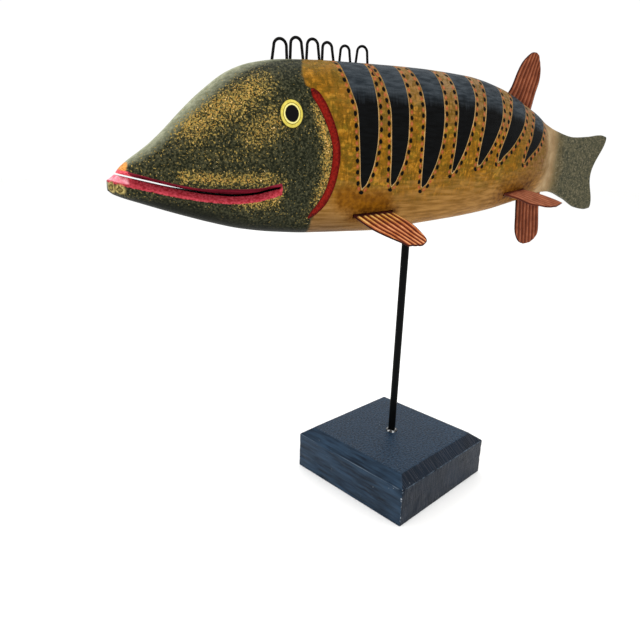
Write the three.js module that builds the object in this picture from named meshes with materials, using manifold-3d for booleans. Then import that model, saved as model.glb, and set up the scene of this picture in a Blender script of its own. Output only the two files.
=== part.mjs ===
// A painted wooden fish decoy on a rod and a square block.
// Millimetres, +Z up. The origin is the centre of the block's underside, the rod stands on it,
// and the fish lies along X with its snout towards -X and its left side towards -Y.
import * as THREE from 'three';
import { mergeVertices } from 'three/addons/utils/BufferGeometryUtils.js';
import Module from 'manifold-3d';

const wasm = await Module();
wasm.setup();

// Driving dimensions of the stand
const base_width = 90;
const base_height = 30;
const base_bevel_run = 7;
const base_bevel_drop = 5.5;
const base_turn_degrees = 18.4;
const rod_diameter = 4.8;
const rod_depth_in_base = 18;
const rod_depth_in_fish = 24;
const belly_height = 169;

// Driving dimensions of the carved fish
const fish_length = 335;
const snout_reach = 171.4;
const body_depth = 90;
const body_width = 50;
const snout_round = 9;
const tail_notch = 8;
const tail_skew = 5.5;
const kerf_width = 1;
const mouth_depth = 5;
const lip_height = 4.5;
const gill_groove_width = 3.8;
const gill_groove_depth = 1.5;

// Driving dimensions of what is fitted to the fish
const eye_width = 11.4;
const eye_height = 13.2;
const eye_seat_depth = 1;
const eye_dome_height = 1.1;
const fin_thickness = 2.2;
const fin_edge_thickness = 0.9;
const fin_flute_depth = 0.45;
const fin_tip_thinning = 0.35;
const fin_ribs = 7;
const fin_tongue_depth = 6;
const pectoral_fin_reach = 30;
const pelvic_fin_reach = 21;
const dorsal_fin_reach = 30;
const anal_fin_reach = 33;
const wire_diameter = 1.4;
const wire_depth_in_back = 6;
const loop_width = 8;
const loop_height = 10.8;
const loop_gap = 2.1;
const loop_taper_width = 0.6;
const fit_gap = 0.3;

// The fish's side view, as shares of its length from the snout and of its depth from the belly
const back_line = smoothLine([
  [0, 0.305], [0.012, 0.342], [0.018, 0.372], [0.06, 0.496], [0.135, 0.768], [0.177, 0.886],
  [0.21, 0.937], [0.26, 0.971], [0.35, 0.99], [0.5, 1], [0.6, 0.99], [0.68, 0.944],
  [0.775, 0.815], [0.85, 0.69], [0.905, 0.652], [0.95, 0.662], [0.985, 0.678], [1, 0.668],
]);
const belly_line = smoothLine([
  [0, 0.255], [0.007, 0.232], [0.046, 0.181], [0.094, 0.126], [0.145, 0.074], [0.195, 0.033],
  [0.246, 0.011], [0.306, 0], [0.44, 0], [0.515, 0.035], [0.613, 0.077], [0.69, 0.118],
  [0.762, 0.178], [0.849, 0.246], [0.909, 0.188], [0.953, 0.122], [0.985, 0.107], [1, 0.115],
]);

// The fish's plan, as shares of half its width, and how square each cross-section is
const width_line = smoothLine([
  [0, 0.44], [0.05, 0.5], [0.09, 0.58], [0.165, 0.76], [0.245, 0.9], [0.33, 0.98], [0.45, 1],
  [0.57, 0.97], [0.66, 0.86], [0.735, 0.7], [0.782, 0.56], [0.8, 0.47], [0.822, 0.3],
  [0.84, 0.2], [0.86, 0.165], [0.91, 0.13], [1, 0.09],
]);
const squareness_line = smoothLine([
  [0, 2.2], [0.2, 2.35], [0.35, 2.6], [0.55, 2.5], [0.72, 2.1], [0.81, 2], [0.86, 4], [1, 5],
]);

// Places on the side view, in the same shares: mouth, gill line, eye, tail and wire loops
const mouth_line = smoothLine([
  [-0.02, 0.367], [0.055, 0.303], [0.1, 0.267], [0.14, 0.246], [0.172, 0.238], [0.2, 0.246],
  [0.238, 0.284],
]);
const mouth_end = 0.238;
const lip_start = 0.02;
const kerf_end = 0.234;
const loops_start = 0.2462;
const gill_path = [
  [0.284, 0.805], [0.31, 0.7], [0.325, 0.56], [0.327, 0.45], [0.319, 0.31], [0.303, 0.2],
  [0.283, 0.105],
];
const eye_place = { along: 0.252, level: 0.67 };
const tail_start = 0.873;

// How far each lip is cut back from the mouth line, as shares of the lip's height
const upper_lip_line = smoothLine([[0, 0.49], [0.11, 0.31], [0.17, 0.62], [0.238, 0.4]]);
const lower_lip_line = smoothLine([[0, 1], [0.11, 0.93], [0.238, 0.84]]);

const snout_x = -snout_reach;
const rod_radius = rod_diameter / 2;

// A smooth line through [share, value] pairs that doesn't swing past them
function smoothLine(points) {
  const last = points.length - 1;
  const step = [];
  for (let i = 0; i < last; i += 1) {
    step.push((points[i + 1][1] - points[i][1]) / (points[i + 1][0] - points[i][0]));
  }
  const slope = points.map((point, i) => {
    if (i === 0) return step[0];
    if (i === last) return step[last - 1];
    const same_way = step[i - 1] * step[i] > 0;
    return same_way ? (2 * step[i - 1] * step[i]) / (step[i - 1] + step[i]) : 0;
  });
  return (share) => {
    const at = THREE.MathUtils.clamp(share, points[0][0], points[last][0]);
    let i = 0;
    while (i < last - 1 && at > points[i + 1][0]) i += 1;
    const run = points[i + 1][0] - points[i][0];
    const t = (at - points[i][0]) / run;
    const ease = t * t * (3 - 2 * t);
    const lead = t * (1 - t) * (1 - t) * run;
    const trail = t * t * (t - 1) * run;
    return points[i][1] * (1 - ease) + points[i + 1][1] * ease + slope[i] * lead + slope[i + 1] * trail;
  };
}

function alongToX(along) {
  return snout_x + along * fish_length;
}

function levelToZ(level) {
  return belly_height + level * body_depth;
}

// Half the fish's width at its widest, with the snout rounded off in plan
function halfWidth(along) {
  const into_snout = Math.min(1, (along * fish_length) / snout_round);
  const rounding = Math.sqrt(Math.max(0, 1 - (1 - into_snout) ** 2));
  return (body_width / 2) * width_line(along) * rounding;
}

function sectionMiddle(along) {
  return levelToZ((back_line(along) + belly_line(along)) / 2);
}

function sectionHalfHeight(along) {
  return (levelToZ(back_line(along)) - levelToZ(belly_line(along))) / 2;
}

// The point on the fish's flank at a share of its length and a height; side is -1 on the left
function flankPoint(along, z, side) {
  const lift = Math.abs((z - sectionMiddle(along)) / sectionHalfHeight(along));
  const power = squareness_line(along);
  const out = halfWidth(along) * Math.max(0, 1 - lift ** power) ** (1 / power);
  return new THREE.Vector3(alongToX(along), side * out, z);
}

function flankNormal(along, z, side) {
  const nudge = 0.004;
  const rise = nudge * fish_length;
  const forward = flankPoint(along + nudge, z, side).sub(flankPoint(along - nudge, z, side));
  const upward = flankPoint(along, z + rise, side).sub(flankPoint(along, z - rise, side));
  return forward.cross(upward).multiplyScalar(-side).normalize();
}

// Triangles that close a ring, in strips between each point and the one across from it: the first
// point is across from itself where first_across is 0, and from the last point where it is -1
function capTriangles(count, first_across) {
  const triangles = [];
  for (let a = 0; a < count; a += 1) {
    const across = (count + first_across - a) % count;
    const next = a + 1;
    const next_across = (count + first_across - next) % count;
    if (next > next_across) break;
    if (next !== next_across) triangles.push([a, next, next_across]);
    if (a !== across) triangles.push([a, next_across, across]);
  }
  return triangles;
}

// Rings of points joined into one closed skin with its faces outwards
function skinRings(rings, first_across = 0) {
  const count = rings[0].length;
  const far = (rings.length - 1) * count;
  const points = rings.flat();
  const triangles = [];
  for (let i = 0; i < far; i += count) {
    for (let j = 0; j < count; j += 1) {
      const a = i + j;
      const b = i + ((j + 1) % count);
      triangles.push([a, b, b + count], [a, b + count, a + count]);
    }
  }
  for (const [a, b, c] of capTriangles(count, first_across)) {
    triangles.push([c, b, a], [far + a, far + b, far + c]);
  }
  const volume = triangles.reduce((sum, [a, b, c]) => (
    sum + points[a].dot(new THREE.Vector3().crossVectors(points[b], points[c]))
  ), 0);
  if (volume < 0) triangles.forEach((triangle) => triangle.reverse());
  const geometry = new THREE.BufferGeometry();
  geometry.setFromPoints(points);
  geometry.setIndex(triangles.flat());
  return geometry;
}

// A three.js geometry as a solid that can be joined and cut
function toSolid(geometry) {
  const bare = geometry.clone();
  bare.deleteAttribute('normal');
  bare.deleteAttribute('uv');
  const merged = mergeVertices(bare, 1e-4);
  return new wasm.Manifold(new wasm.Mesh({
    numProp: 3,
    vertProperties: new Float32Array(merged.attributes.position.array),
    triVerts: new Uint32Array(merged.index.array),
  }));
}

function toGeometry(solid) {
  const mesh = solid.getMesh();
  const geometry = new THREE.BufferGeometry();
  geometry.setAttribute('position', new THREE.BufferAttribute(new Float32Array(mesh.vertProperties), 3));
  geometry.setIndex(new THREE.BufferAttribute(new Uint32Array(mesh.triVerts), 1));
  return geometry.toNonIndexed();
}

// The carved blank: cross-sections from the snout to the tail's hollow end, closest together at the
// snout and where the body narrows into the tail
function bodyBlank() {
  const shares = [0.0006, 0.003, 0.008, 0.0125, 0.0185, 0.028];
  for (let share = 0.045; share < 0.75; share += 0.0215) shares.push(share);
  for (let share = 0.762; share < 0.865; share += 0.0105) shares.push(share);
  for (let share = tail_start; share < 0.95; share += 0.025) shares.push(share);
  shares.push(0.974, 0.99, 1);
  const points_round = 24;
  const rings = shares.map((share) => {
    const middle = sectionMiddle(share);
    const half_height = sectionHalfHeight(share);
    const half_width = halfWidth(share);
    const power = 2 / squareness_line(share);
    const ring = [];
    for (let j = 0; j < points_round; j += 1) {
      const angle = (Math.PI * 2 * j) / points_round;
      const across = Math.sign(Math.sin(angle)) * Math.abs(Math.sin(angle)) ** power;
      const up = Math.sign(Math.cos(angle)) * Math.abs(Math.cos(angle)) ** power;
      const x = tailX(share, (up + 1) / 2);
      ring.push(new THREE.Vector3(x, half_width * across, middle + half_height * up));
    }
    return ring;
  });
  return skinRings(rings);
}

// Past the tail's start the sections lean and hollow towards the shape of its end
function tailX(share, rise) {
  if (share <= tail_start) return alongToX(share);
  const start = alongToX(tail_start);
  const end = alongToX(1) - tail_skew * (1 - rise) - tail_notch * Math.sin(Math.PI * rise) ** 2;
  return start + ((share - tail_start) / (1 - tail_start)) * (end - start);
}

// The V-cut lips of one side: its floor is the mouth line, and it runs out at the mouth's corner
function lipCut(side) {
  const steps = 14;
  const overrun = 3;
  const start = -0.012;
  const corner_closing = 0.35;
  const deepest_share = 0.45;
  const rings = [];
  for (let i = 0; i <= steps; i += 1) {
    const along = start + ((mouth_end - start) * i) / steps;
    const inside = Math.max(along, lip_start);
    const floor = levelToZ(mouth_line(along));
    const flank = Math.abs(flankPoint(inside, levelToZ(mouth_line(inside)), side).y);
    const closing = i < steps ? 1 : corner_closing;
    const depth = Math.min(mouth_depth, deepest_share * flank) * closing;
    const grow = (closing * lip_height * (depth + overrun)) / depth;
    const x = alongToX(along);
    rings.push([
      new THREE.Vector3(x, side * (flank - depth), floor),
      new THREE.Vector3(x, side * (flank + overrun), floor + upper_lip_line(along) * grow),
      new THREE.Vector3(x, side * (flank + overrun), floor - lower_lip_line(along) * grow),
    ]);
  }
  return skinRings(rings);
}

// The saw kerf that runs right through the head along the mouth line, nearly to the mouth's corners
function kerfCut() {
  const steps = 14;
  const start = -0.02;
  const upper = [];
  const lower = [];
  for (let i = 0; i <= steps; i += 1) {
    const along = start + ((kerf_end - start) * i) / steps;
    const z = levelToZ(mouth_line(along));
    upper.push(new THREE.Vector2(alongToX(along), z + kerf_width / 2));
    lower.push(new THREE.Vector2(alongToX(along), z - kerf_width / 2));
  }
  const strip = new THREE.Shape([...lower, ...upper.reverse()]);
  const geometry = new THREE.ExtrudeGeometry(strip, { depth: body_width, bevelEnabled: false });
  geometry.translate(0, 0, -body_width / 2);
  geometry.rotateX(Math.PI / 2);
  return geometry;
}

// The gouged gill line of one side, pointed at both ends
function gillCut(side) {
  const places = gill_path.map(([along, level]) => flankPoint(along, levelToZ(level), side));
  const path = new THREE.CatmullRomCurve3(places);
  const steps = 12;
  const sides = 6;
  const pointed_end = 0.12;
  const rings = [];
  for (let i = 0; i <= steps; i += 1) {
    const t = i / steps;
    const centre = path.getPoint(t);
    const along = (centre.x - snout_x) / fish_length;
    const surface = flankPoint(along, centre.z, side);
    const normal = flankNormal(along, centre.z, side);
    const across = new THREE.Vector3().crossVectors(path.getTangent(t), normal).normalize();
    const swell = THREE.MathUtils.lerp(pointed_end, 1, Math.sin(Math.PI * t) ** 0.6);
    const ring = [];
    for (let j = 0; j < sides; j += 1) {
      const angle = (Math.PI * 2 * j) / sides;
      const reach = across.clone().multiplyScalar(Math.cos(angle) * swell * gill_groove_width / 2);
      const sink = normal.clone().multiplyScalar(Math.sin(angle) * swell * gill_groove_depth);
      ring.push(surface.clone().add(reach).add(sink));
    }
    rings.push(ring);
  }
  return skinRings(rings);
}

// Where an eye sits: its own frame has +Y out of the flank
function eyeFrame(side) {
  const z = levelToZ(eye_place.level);
  const outward = flankNormal(eye_place.along, z, side);
  const forward = new THREE.Vector3(1, 0, 0).projectOnPlane(outward).normalize();
  const upward = new THREE.Vector3().crossVectors(forward, outward);
  return new THREE.Matrix4().makeBasis(forward, outward, upward)
    .setPosition(flankPoint(eye_place.along, z, side));
}

function eyeSeatCut(side) {
  const seat = new THREE.CylinderGeometry(1, 1, 1, 20);
  const reach = 3;
  seat.scale(eye_width / 2 + fit_gap, eye_seat_depth + fit_gap + reach, eye_height / 2 + fit_gap);
  seat.translate(0, (reach - eye_seat_depth - fit_gap) / 2, 0);
  return seat.applyMatrix4(eyeFrame(side));
}

// The eye's disc, domed a little: each pair is a share of its radius and of its dome's height
function eyeDisc(side) {
  const dome = [[1, 0.35], [0.86, 0.7], [0.5, 0.95], [0, 1]];
  const profile = [
    new THREE.Vector2(0, -eye_seat_depth),
    new THREE.Vector2(1, -eye_seat_depth),
    ...dome.map(([x, rise]) => new THREE.Vector2(x, rise * eye_dome_height)),
  ];
  const disc = new THREE.LatheGeometry(profile, 20);
  disc.scale(eye_width / 2, 1, eye_height / 2);
  return disc.applyMatrix4(eyeFrame(side));
}

// Each fin: its root on the fish, its reach, and its two edges as shares of root length and reach
const paired_fins = {
  pectoral_fin: {
    root: [[0.366, 0.115], [0.439, 0.138]], droop_degrees: 30, reach: pectoral_fin_reach,
    front: [[0, 0], [0.2, 0.37], [0.4, 0.6], [0.65, 0.83], [0.76, 0.95]],
    rear: [[1, 0], [1.26, 0.4], [1.33, 0.75], [1.3, 0.9], [1.14, 1]],
  },
  pelvic_fin: {
    root: [[0.695, 0.237], [0.751, 0.264]], droop_degrees: 30, reach: pelvic_fin_reach,
    front: [[0, 0], [0.32, 0.3], [0.52, 0.62], [0.85, 0.8], [1.15, 0.95], [1.55, 1]],
    rear: [[1, 0], [1.4, 0.25], [1.75, 0.62], [1.95, 0.93]],
  },
};
const middle_fins = {
  dorsal_fin: {
    root: [[0.7155, 0.919], [0.7785, 0.83]], up: 1, reach: dorsal_fin_reach,
    front: [[0, 0], [0.04, 0.16], [0.04, 0.47], [0.09, 0.7], [0.25, 0.92], [0.4, 0.99]],
    rear: [[1, 0], [0.94, 0.29], [0.9, 0.56], [0.77, 0.78], [0.52, 0.98]],
  },
  anal_fin: {
    root: [[0.77, 0.195], [0.834, 0.239]], up: -1, reach: anal_fin_reach,
    front: [[0, 0], [-0.03, 0.35], [-0.05, 0.68], [0.08, 0.9], [0.3, 0.995]],
    rear: [[1, 0], [0.95, 0.3], [0.94, 0.78], [0.8, 0.93], [0.56, 1]],
  },
};

// A fin's frame: X along its root, Y outwards along the blade, Z square to the blade
function pairedFinFrame(fin, side) {
  const [front, rear] = fin.root.map(([along, level]) => flankPoint(along, levelToZ(level), side));
  const droop = THREE.MathUtils.degToRad(fin.droop_degrees);
  const along = rear.clone().sub(front);
  const outward = new THREE.Vector3(0, side * Math.cos(droop), -Math.sin(droop));
  return finFrame(front, along, outward);
}

function middleFinFrame(fin) {
  const [front, rear] = fin.root.map(([along, level]) => (
    new THREE.Vector3(alongToX(along), 0, levelToZ(level))
  ));
  return finFrame(front, rear.clone().sub(front), new THREE.Vector3(0, 0, fin.up));
}

function finFrame(origin, root, outward) {
  const along = root.clone().normalize();
  const blade = outward.clone().projectOnPlane(along).normalize();
  const square = new THREE.Vector3().crossVectors(along, blade);
  return {
    matrix: new THREE.Matrix4().makeBasis(along, blade, square).setPosition(origin),
    root_length: root.length(),
  };
}

// The blade, fluted on both faces, with the plain tongue that goes into the body
function finBlade(fin, frame) {
  const front = new THREE.SplineCurve(fin.front.map(([x, y]) => new THREE.Vector2(x, y)));
  const rear = new THREE.SplineCurve(fin.rear.map(([x, y]) => new THREE.Vector2(x, y)));
  const lengthwise = 5;
  const columns = fin_ribs * 2;
  const rings = [];
  for (let i = -1; i <= lengthwise; i += 1) {
    const t = Math.max(0, i / lengthwise);
    const tongue = i < 0 ? -fin_tongue_depth : 0;
    const a = front.getPoint(t);
    const b = rear.getPoint(t);
    const thinning = 1 - fin_tip_thinning * t;
    const upper = [];
    for (let j = 0; j <= columns; j += 1) {
      const x = THREE.MathUtils.lerp(a.x, b.x, j / columns) * frame.root_length;
      const y = THREE.MathUtils.lerp(a.y, b.y, j / columns) * fin.reach + tongue;
      const at_edge = j === 0 || j === columns;
      const fluted = fin_thickness - (j % 2 ? 0 : 2 * fin_flute_depth);
      const thickness = at_edge ? fin_edge_thickness : fluted;
      upper.push(new THREE.Vector3(x, y, (thickness * thinning) / 2));
    }
    const lower = upper.map((point) => new THREE.Vector3(point.x, point.y, -point.z)).reverse();
    rings.push([...upper, ...lower]);
  }
  return skinRings(rings, -1).applyMatrix4(frame.matrix);
}

function finSlotCut(frame) {
  const overrun = 6;
  const slot = new THREE.BoxGeometry(
    frame.root_length + 2 * fit_gap,
    fin_tongue_depth + fit_gap + overrun,
    fin_thickness + 2 * fit_gap,
  );
  slot.translate(frame.root_length / 2, (overrun - fin_tongue_depth - fit_gap) / 2, 0);
  return slot.applyMatrix4(frame.matrix);
}

// The wire staples on the back, from the head's end: the gap before each, its width, its height, how
// far its crown sits off centre and its wire, all as shares of the loop sizes named above
const wire_loops = [
  { gap: 0, width: 1, height: 0.907, off_centre: 0.04, wire: 1 },
  { gap: 1, width: 0.925, height: 1, off_centre: -0.06, wire: 1 },
  { gap: 1, width: 0.8875, height: 0.944, off_centre: -0.06, wire: 0.86 },
  { gap: 1, width: 0.8125, height: 0.815, off_centre: -0.08, wire: 0.86 },
  { gap: 1.22, width: 0.85, height: 0.704, off_centre: -0.025, wire: 0.86 },
  { gap: 1.48, width: 0.925, height: 0.75, off_centre: 0.01, wire: 0.86 },
];

// Where the loops stand, in millimetres: each starts a gap after the one before
function placeLoops() {
  let start_x = alongToX(loops_start);
  return wire_loops.map((loop) => {
    const first_x = start_x + loop.gap * loop_gap;
    start_x = first_x + loop.width * loop_width;
    return {
      first_x,
      last_x: start_x,
      height: loop.height * loop_height,
      off_centre: loop.off_centre * loop_width,
      radius: (loop.wire * wire_diameter) / 2,
    };
  });
}

// The two legs of a staple: the foot at the surface, the spring of its arch and the buried end
function wireLegs(loop) {
  const feet = [loop.first_x, loop.last_x].map((x) => (
    new THREE.Vector3(x, 0, levelToZ(back_line((x - snout_x) / fish_length)))
  ));
  const crown_z = (feet[0].z + feet[1].z) / 2 + loop.height - loop.radius;
  const crown_x = (feet[0].x + feet[1].x) / 2 + loop.off_centre;
  const half_span = (loop.last_x - loop.first_x) / 2 - loop_taper_width;
  return feet.map((foot, i) => {
    const spring = new THREE.Vector3(crown_x + (i ? half_span : -half_span), 0, crown_z - half_span);
    const end = new THREE.Vector3(foot.x, 0, foot.z - wire_depth_in_back);
    return { foot, spring, end };
  });
}

function wireLoop(loop) {
  const [left, right] = wireLegs(loop);
  const centre = left.spring.clone().lerp(right.spring, 0.5);
  const half_span = right.spring.x - centre.x;
  const arch_steps = 8;
  const arch = [];
  for (let i = 0; i <= arch_steps; i += 1) {
    const angle = Math.PI - (Math.PI * i) / arch_steps;
    arch.push(new THREE.Vector3(
      centre.x + half_span * Math.cos(angle), 0, centre.z + half_span * Math.sin(angle),
    ));
  }
  return sweepWire([left.end, left.foot, ...arch, right.foot, right.end], loop.radius);
}

// A round wire through points that lie in the fish's middle plane
function sweepWire(points, radius) {
  const sides = 8;
  const rings = points.map((point, i) => {
    const before = points[Math.max(0, i - 1)];
    const after = points[Math.min(points.length - 1, i + 1)];
    const tangent = after.clone().sub(before).normalize();
    const square = new THREE.Vector3(tangent.z, 0, -tangent.x);
    const ring = [];
    for (let j = 0; j < sides; j += 1) {
      const angle = (Math.PI * 2 * j) / sides;
      ring.push(point.clone()
        .addScaledVector(square, radius * Math.cos(angle))
        .add(new THREE.Vector3(0, radius * Math.sin(angle), 0)));
    }
    return ring;
  });
  return skinRings(rings);
}

function wireHoleCuts(loop) {
  const overrun = 4;
  return wireLegs(loop).map(({ foot, end }) => {
    const hole = uprightBar(loop.radius + fit_gap, end.z - fit_gap, foot.z + overrun, 8);
    return hole.translate(foot.x, 0, 0);
  });
}

// A round bar standing on Z between two heights
function uprightBar(radius, from, to, sides) {
  const bar = new THREE.CylinderGeometry(radius, radius, to - from, sides);
  return bar.rotateX(Math.PI / 2).translate(0, 0, (from + to) / 2);
}

const belly_at_rod = levelToZ(belly_line(snout_reach / fish_length));
const rod_bottom = base_height - rod_depth_in_base;
const rod_top = belly_at_rod + rod_depth_in_fish;

// The square block: a four-sided turning with its top edge bevelled, and the rod's hole
function stand() {
  const to_corner = Math.SQRT2 / 2;
  const profile = [
    [0, 0], [base_width * to_corner, 0], [base_width * to_corner, base_height - base_bevel_drop],
    [(base_width - 2 * base_bevel_run) * to_corner, base_height], [0, base_height],
  ].map(([x, y]) => new THREE.Vector2(x, y));
  const block = new THREE.LatheGeometry(profile, 4);
  block.rotateX(Math.PI / 2);
  block.rotateZ(Math.PI / 4 + THREE.MathUtils.degToRad(base_turn_degrees));
  const overrun = 1;
  const hole = uprightBar(rod_radius + fit_gap, rod_bottom - fit_gap, base_height + overrun, 24);
  return toGeometry(toSolid(block).subtract(toSolid(hole)));
}

function fishBody() {
  const paired = Object.values(paired_fins);
  const overrun = 5;
  const rod_hole = uprightBar(rod_radius + fit_gap, belly_height - overrun, rod_top + fit_gap, 16);
  const cuts = [kerfCut(), rod_hole];
  for (const side of [-1, 1]) {
    cuts.push(lipCut(side), gillCut(side), eyeSeatCut(side));
    paired.forEach((fin) => cuts.push(finSlotCut(pairedFinFrame(fin, side))));
  }
  Object.values(middle_fins).forEach((fin) => cuts.push(finSlotCut(middleFinFrame(fin))));
  placeLoops().forEach((loop) => cuts.push(...wireHoleCuts(loop)));
  const carved = cuts.reduce((solid, cut) => solid.subtract(toSolid(cut)), toSolid(bodyBlank()));
  return toGeometry(carved);
}

const fish_decoy = new THREE.Group();

function add(name, geometry, color, roughness, metalness) {
  const mesh = new THREE.Mesh(geometry, new THREE.MeshStandardMaterial({ color, roughness, metalness }));
  mesh.name = name;
  fish_decoy.add(mesh);
}

add('fish_body', fishBody(), '#a9792c', 0.35, 0);
for (const [side, word] of [[-1, 'left'], [1, 'right']]) {
  for (const [name, fin] of Object.entries(paired_fins)) {
    add(`${name}_${word}`, finBlade(fin, pairedFinFrame(fin, side)), '#99562c', 0.45, 0);
  }
  add(`eye_${word}`, eyeDisc(side), '#e8dc78', 0.3, 0);
}
for (const [name, fin] of Object.entries(middle_fins)) {
  add(name, finBlade(fin, middleFinFrame(fin)), '#7a4028', 0.45, 0);
}
placeLoops().forEach((loop, i) => add(`wire_loop_${i + 1}`, wireLoop(loop), '#17181a', 0.45, 0.8));
add('stand_rod', uprightBar(rod_radius, rod_bottom, rod_top, 24), '#15191b', 0.35, 0.6);
add('stand_base', stand(), '#23262b', 0.4, 0);

export default fish_decoy;
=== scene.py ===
import math

import bpy
import numpy as np
from mathutils import Matrix, Vector, noise


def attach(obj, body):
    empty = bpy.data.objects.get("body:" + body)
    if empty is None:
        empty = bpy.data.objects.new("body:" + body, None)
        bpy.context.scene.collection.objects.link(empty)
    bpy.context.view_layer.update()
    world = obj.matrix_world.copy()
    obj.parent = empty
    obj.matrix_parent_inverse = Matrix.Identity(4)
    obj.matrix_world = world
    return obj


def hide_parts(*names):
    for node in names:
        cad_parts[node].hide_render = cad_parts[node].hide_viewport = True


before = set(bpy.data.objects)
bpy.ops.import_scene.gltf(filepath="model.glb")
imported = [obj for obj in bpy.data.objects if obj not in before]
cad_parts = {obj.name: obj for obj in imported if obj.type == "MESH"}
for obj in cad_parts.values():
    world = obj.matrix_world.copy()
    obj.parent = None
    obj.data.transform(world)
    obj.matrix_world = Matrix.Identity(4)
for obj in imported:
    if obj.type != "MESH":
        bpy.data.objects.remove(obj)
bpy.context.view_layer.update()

# The view. The camera stands off the snout on the fish's left, a little above its back, where the
# photograph's did: its place and lens were worked out from the square block.
MM = 0.001
view_place_mm = (-192.6, -276.5, 210.6)
view_turn = math.radians(-26)
view_tilt = math.radians(90 - 17.1)
view_roll = math.radians(1.75)
view_lens_mm = 30.09
view_sensor_mm = 36
nearest_seen_mm = 10

bpy.ops.object.select_all(action="DESELECT")
bpy.ops.object.camera_add()
camera = bpy.context.object
camera.name = "camera"
camera.matrix_world = (
    Matrix.Translation(Vector(view_place_mm) * MM)
    @ Matrix.Rotation(view_turn, 4, "Z")
    @ Matrix.Rotation(view_tilt, 4, "X")
    @ Matrix.Rotation(view_roll, 4, "Z")
)
camera.data.sensor_width = view_sensor_mm
camera.data.lens = view_lens_mm
camera.data.clip_start = nearest_seen_mm * MM
bpy.context.scene.camera = camera

# The studio. White paper underneath and white walls all round, with one big soft box overhead that
# gives the shoulders their sheen and a smaller one by the camera.
bpy.context.scene.view_settings.view_transform = "Standard"
floor_width = 8.0
studio_white = "#ffffff"
studio_strength = 1.03
overhead_size = (1.1, 0.9)
overhead_place = (-0.10, 0.05, 1.15)
overhead_power = 8.0
front_size = 0.5
front_place = (-0.75, -0.75, 0.75)
front_power = 2.0
lit_place = (0, 0, 0.2)


def paint(hex_colour):
    """An sRGB hex colour as the linear values that a shader socket takes."""
    shares = [int(hex_colour[i:i + 2], 16) / 255 for i in (1, 3, 5)]
    linear = [s / 12.92 if s <= 0.04045 else ((s + 0.055) / 1.055) ** 2.4 for s in shares]
    return (*linear, 1)


def new_material(name):
    """An empty material with its surface shader, which every finish below builds on."""
    made = bpy.data.materials.new(name)
    made.use_nodes = True
    return made, made.node_tree.nodes["Principled BSDF"]


def add_node(material, kind, sockets, **settings):
    """Adds one node. A socket gets a value, or another node's output to be linked from."""
    made = material.node_tree.nodes.new(kind)
    for name, value in settings.items():
        setattr(made, name, value)
    fill_sockets(material, made, sockets)
    return made


def fill_sockets(material, shader, sockets):
    """Sets a node's sockets by name or number, by value or by a link."""
    for name, value in sockets.items():
        if isinstance(value, bpy.types.NodeSocket):
            material.node_tree.links.new(value, shader.inputs[name])
        else:
            shader.inputs[name].default_value = value


bpy.ops.object.select_all(action="DESELECT")
bpy.ops.mesh.primitive_plane_add(size=floor_width)
floor = bpy.context.object
floor.name = "paper_floor"
paper, paper_shader = new_material("matt white paper")
fill_sockets(paper, paper_shader, {
    "Base Color": paint("#fcfcfb"), "Roughness": 0.95, "Specular IOR Level": 0.1,
})
floor.data.materials.append(paper)

studio = bpy.data.worlds.new("white studio")
studio.use_nodes = True
studio.node_tree.nodes["Background"].inputs["Color"].default_value = paint(studio_white)
studio.node_tree.nodes["Background"].inputs["Strength"].default_value = studio_strength
bpy.context.scene.world = studio


def add_soft_box(name, place, size, power):
    """A square or oblong light that faces the middle of the fish."""
    bpy.ops.object.select_all(action="DESELECT")
    bpy.ops.object.light_add(type="AREA", location=place)
    lamp = bpy.context.object
    lamp.name = name
    lamp.data.shape = "RECTANGLE"
    lamp.data.size, lamp.data.size_y = size
    lamp.data.energy = power
    aim = Vector(lit_place) - Vector(place)
    lamp.rotation_euler = aim.to_track_quat("-Z", "Y").to_euler()
    return lamp


add_soft_box("overhead_box", overhead_place, overhead_size, overhead_power)
add_soft_box("front_box", front_place, (front_size, front_size), front_power)

# The block: a square of softwood with its top edge planed to a bevel, painted black. Two faces show
# long grain and two end grain, and its edges are a little knocked. The rod is let into its top.
base_width_mm = 90
base_height_mm = 30
bevel_run_mm = 7
bevel_drop_mm = 5.5
base_turn = math.radians(18.4)
edge_round_mm = 0.6
face_cuts = 48
grain_size_mm = 2.4
grain_stretch = 14.0
grain_relief_mm = 0.08
end_grain_size_mm = 4.1
end_relief_mm = 0.09
dent_size_mm = 5.5
dent_depth_mm = 1.6
dents_from = 0.64
knocked_band_mm = 4.0
corner_knock_mm = 0.9
kept_inside_mm = 0.02
rod_diameter_mm = 4.8
rod_depth_in_base_mm = 18
rod_fit_mm = 0.05
hole_overrun_mm = 4


def edit_selected(made, action, chosen=lambda face: False):
    """Runs steps in edit mode on one object, with only its chosen faces selected."""
    bpy.ops.object.select_all(action="DESELECT")
    made.select_set(True)
    bpy.context.view_layer.objects.active = made
    bpy.context.tool_settings.mesh_select_mode = (False, False, True)
    for part in (*made.data.vertices, *made.data.edges):
        part.select = False
    for face in made.data.polygons:
        face.select = chosen(face)
    bpy.ops.object.mode_set(mode="EDIT")
    action()
    bpy.ops.object.mode_set(mode="OBJECT")


def read_points(made):
    """A mesh's points in millimetres."""
    flat = np.empty(len(made.data.vertices) * 3)
    made.data.vertices.foreach_get("co", flat)
    return flat.reshape(-1, 3) / MM


def write_points(made, points):
    """Puts a mesh's points at new places in millimetres."""
    made.data.vertices.foreach_set("co", (points * MM).ravel())
    made.data.update()


def read_normals(made):
    """Which way each of a mesh's points faces."""
    flat = np.empty(len(made.data.vertices) * 3)
    made.data.vertices.foreach_get("normal", flat)
    return flat.reshape(-1, 3)


def noise_at(points, size_mm, seed=0.0):
    """Smooth noise from 0 to 1 at each point, where size_mm is the size of its lumps."""
    scaled = points / size_mm + seed
    return np.array([noise.noise(Vector(p)) for p in scaled]) * 0.5 + 0.5


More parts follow.
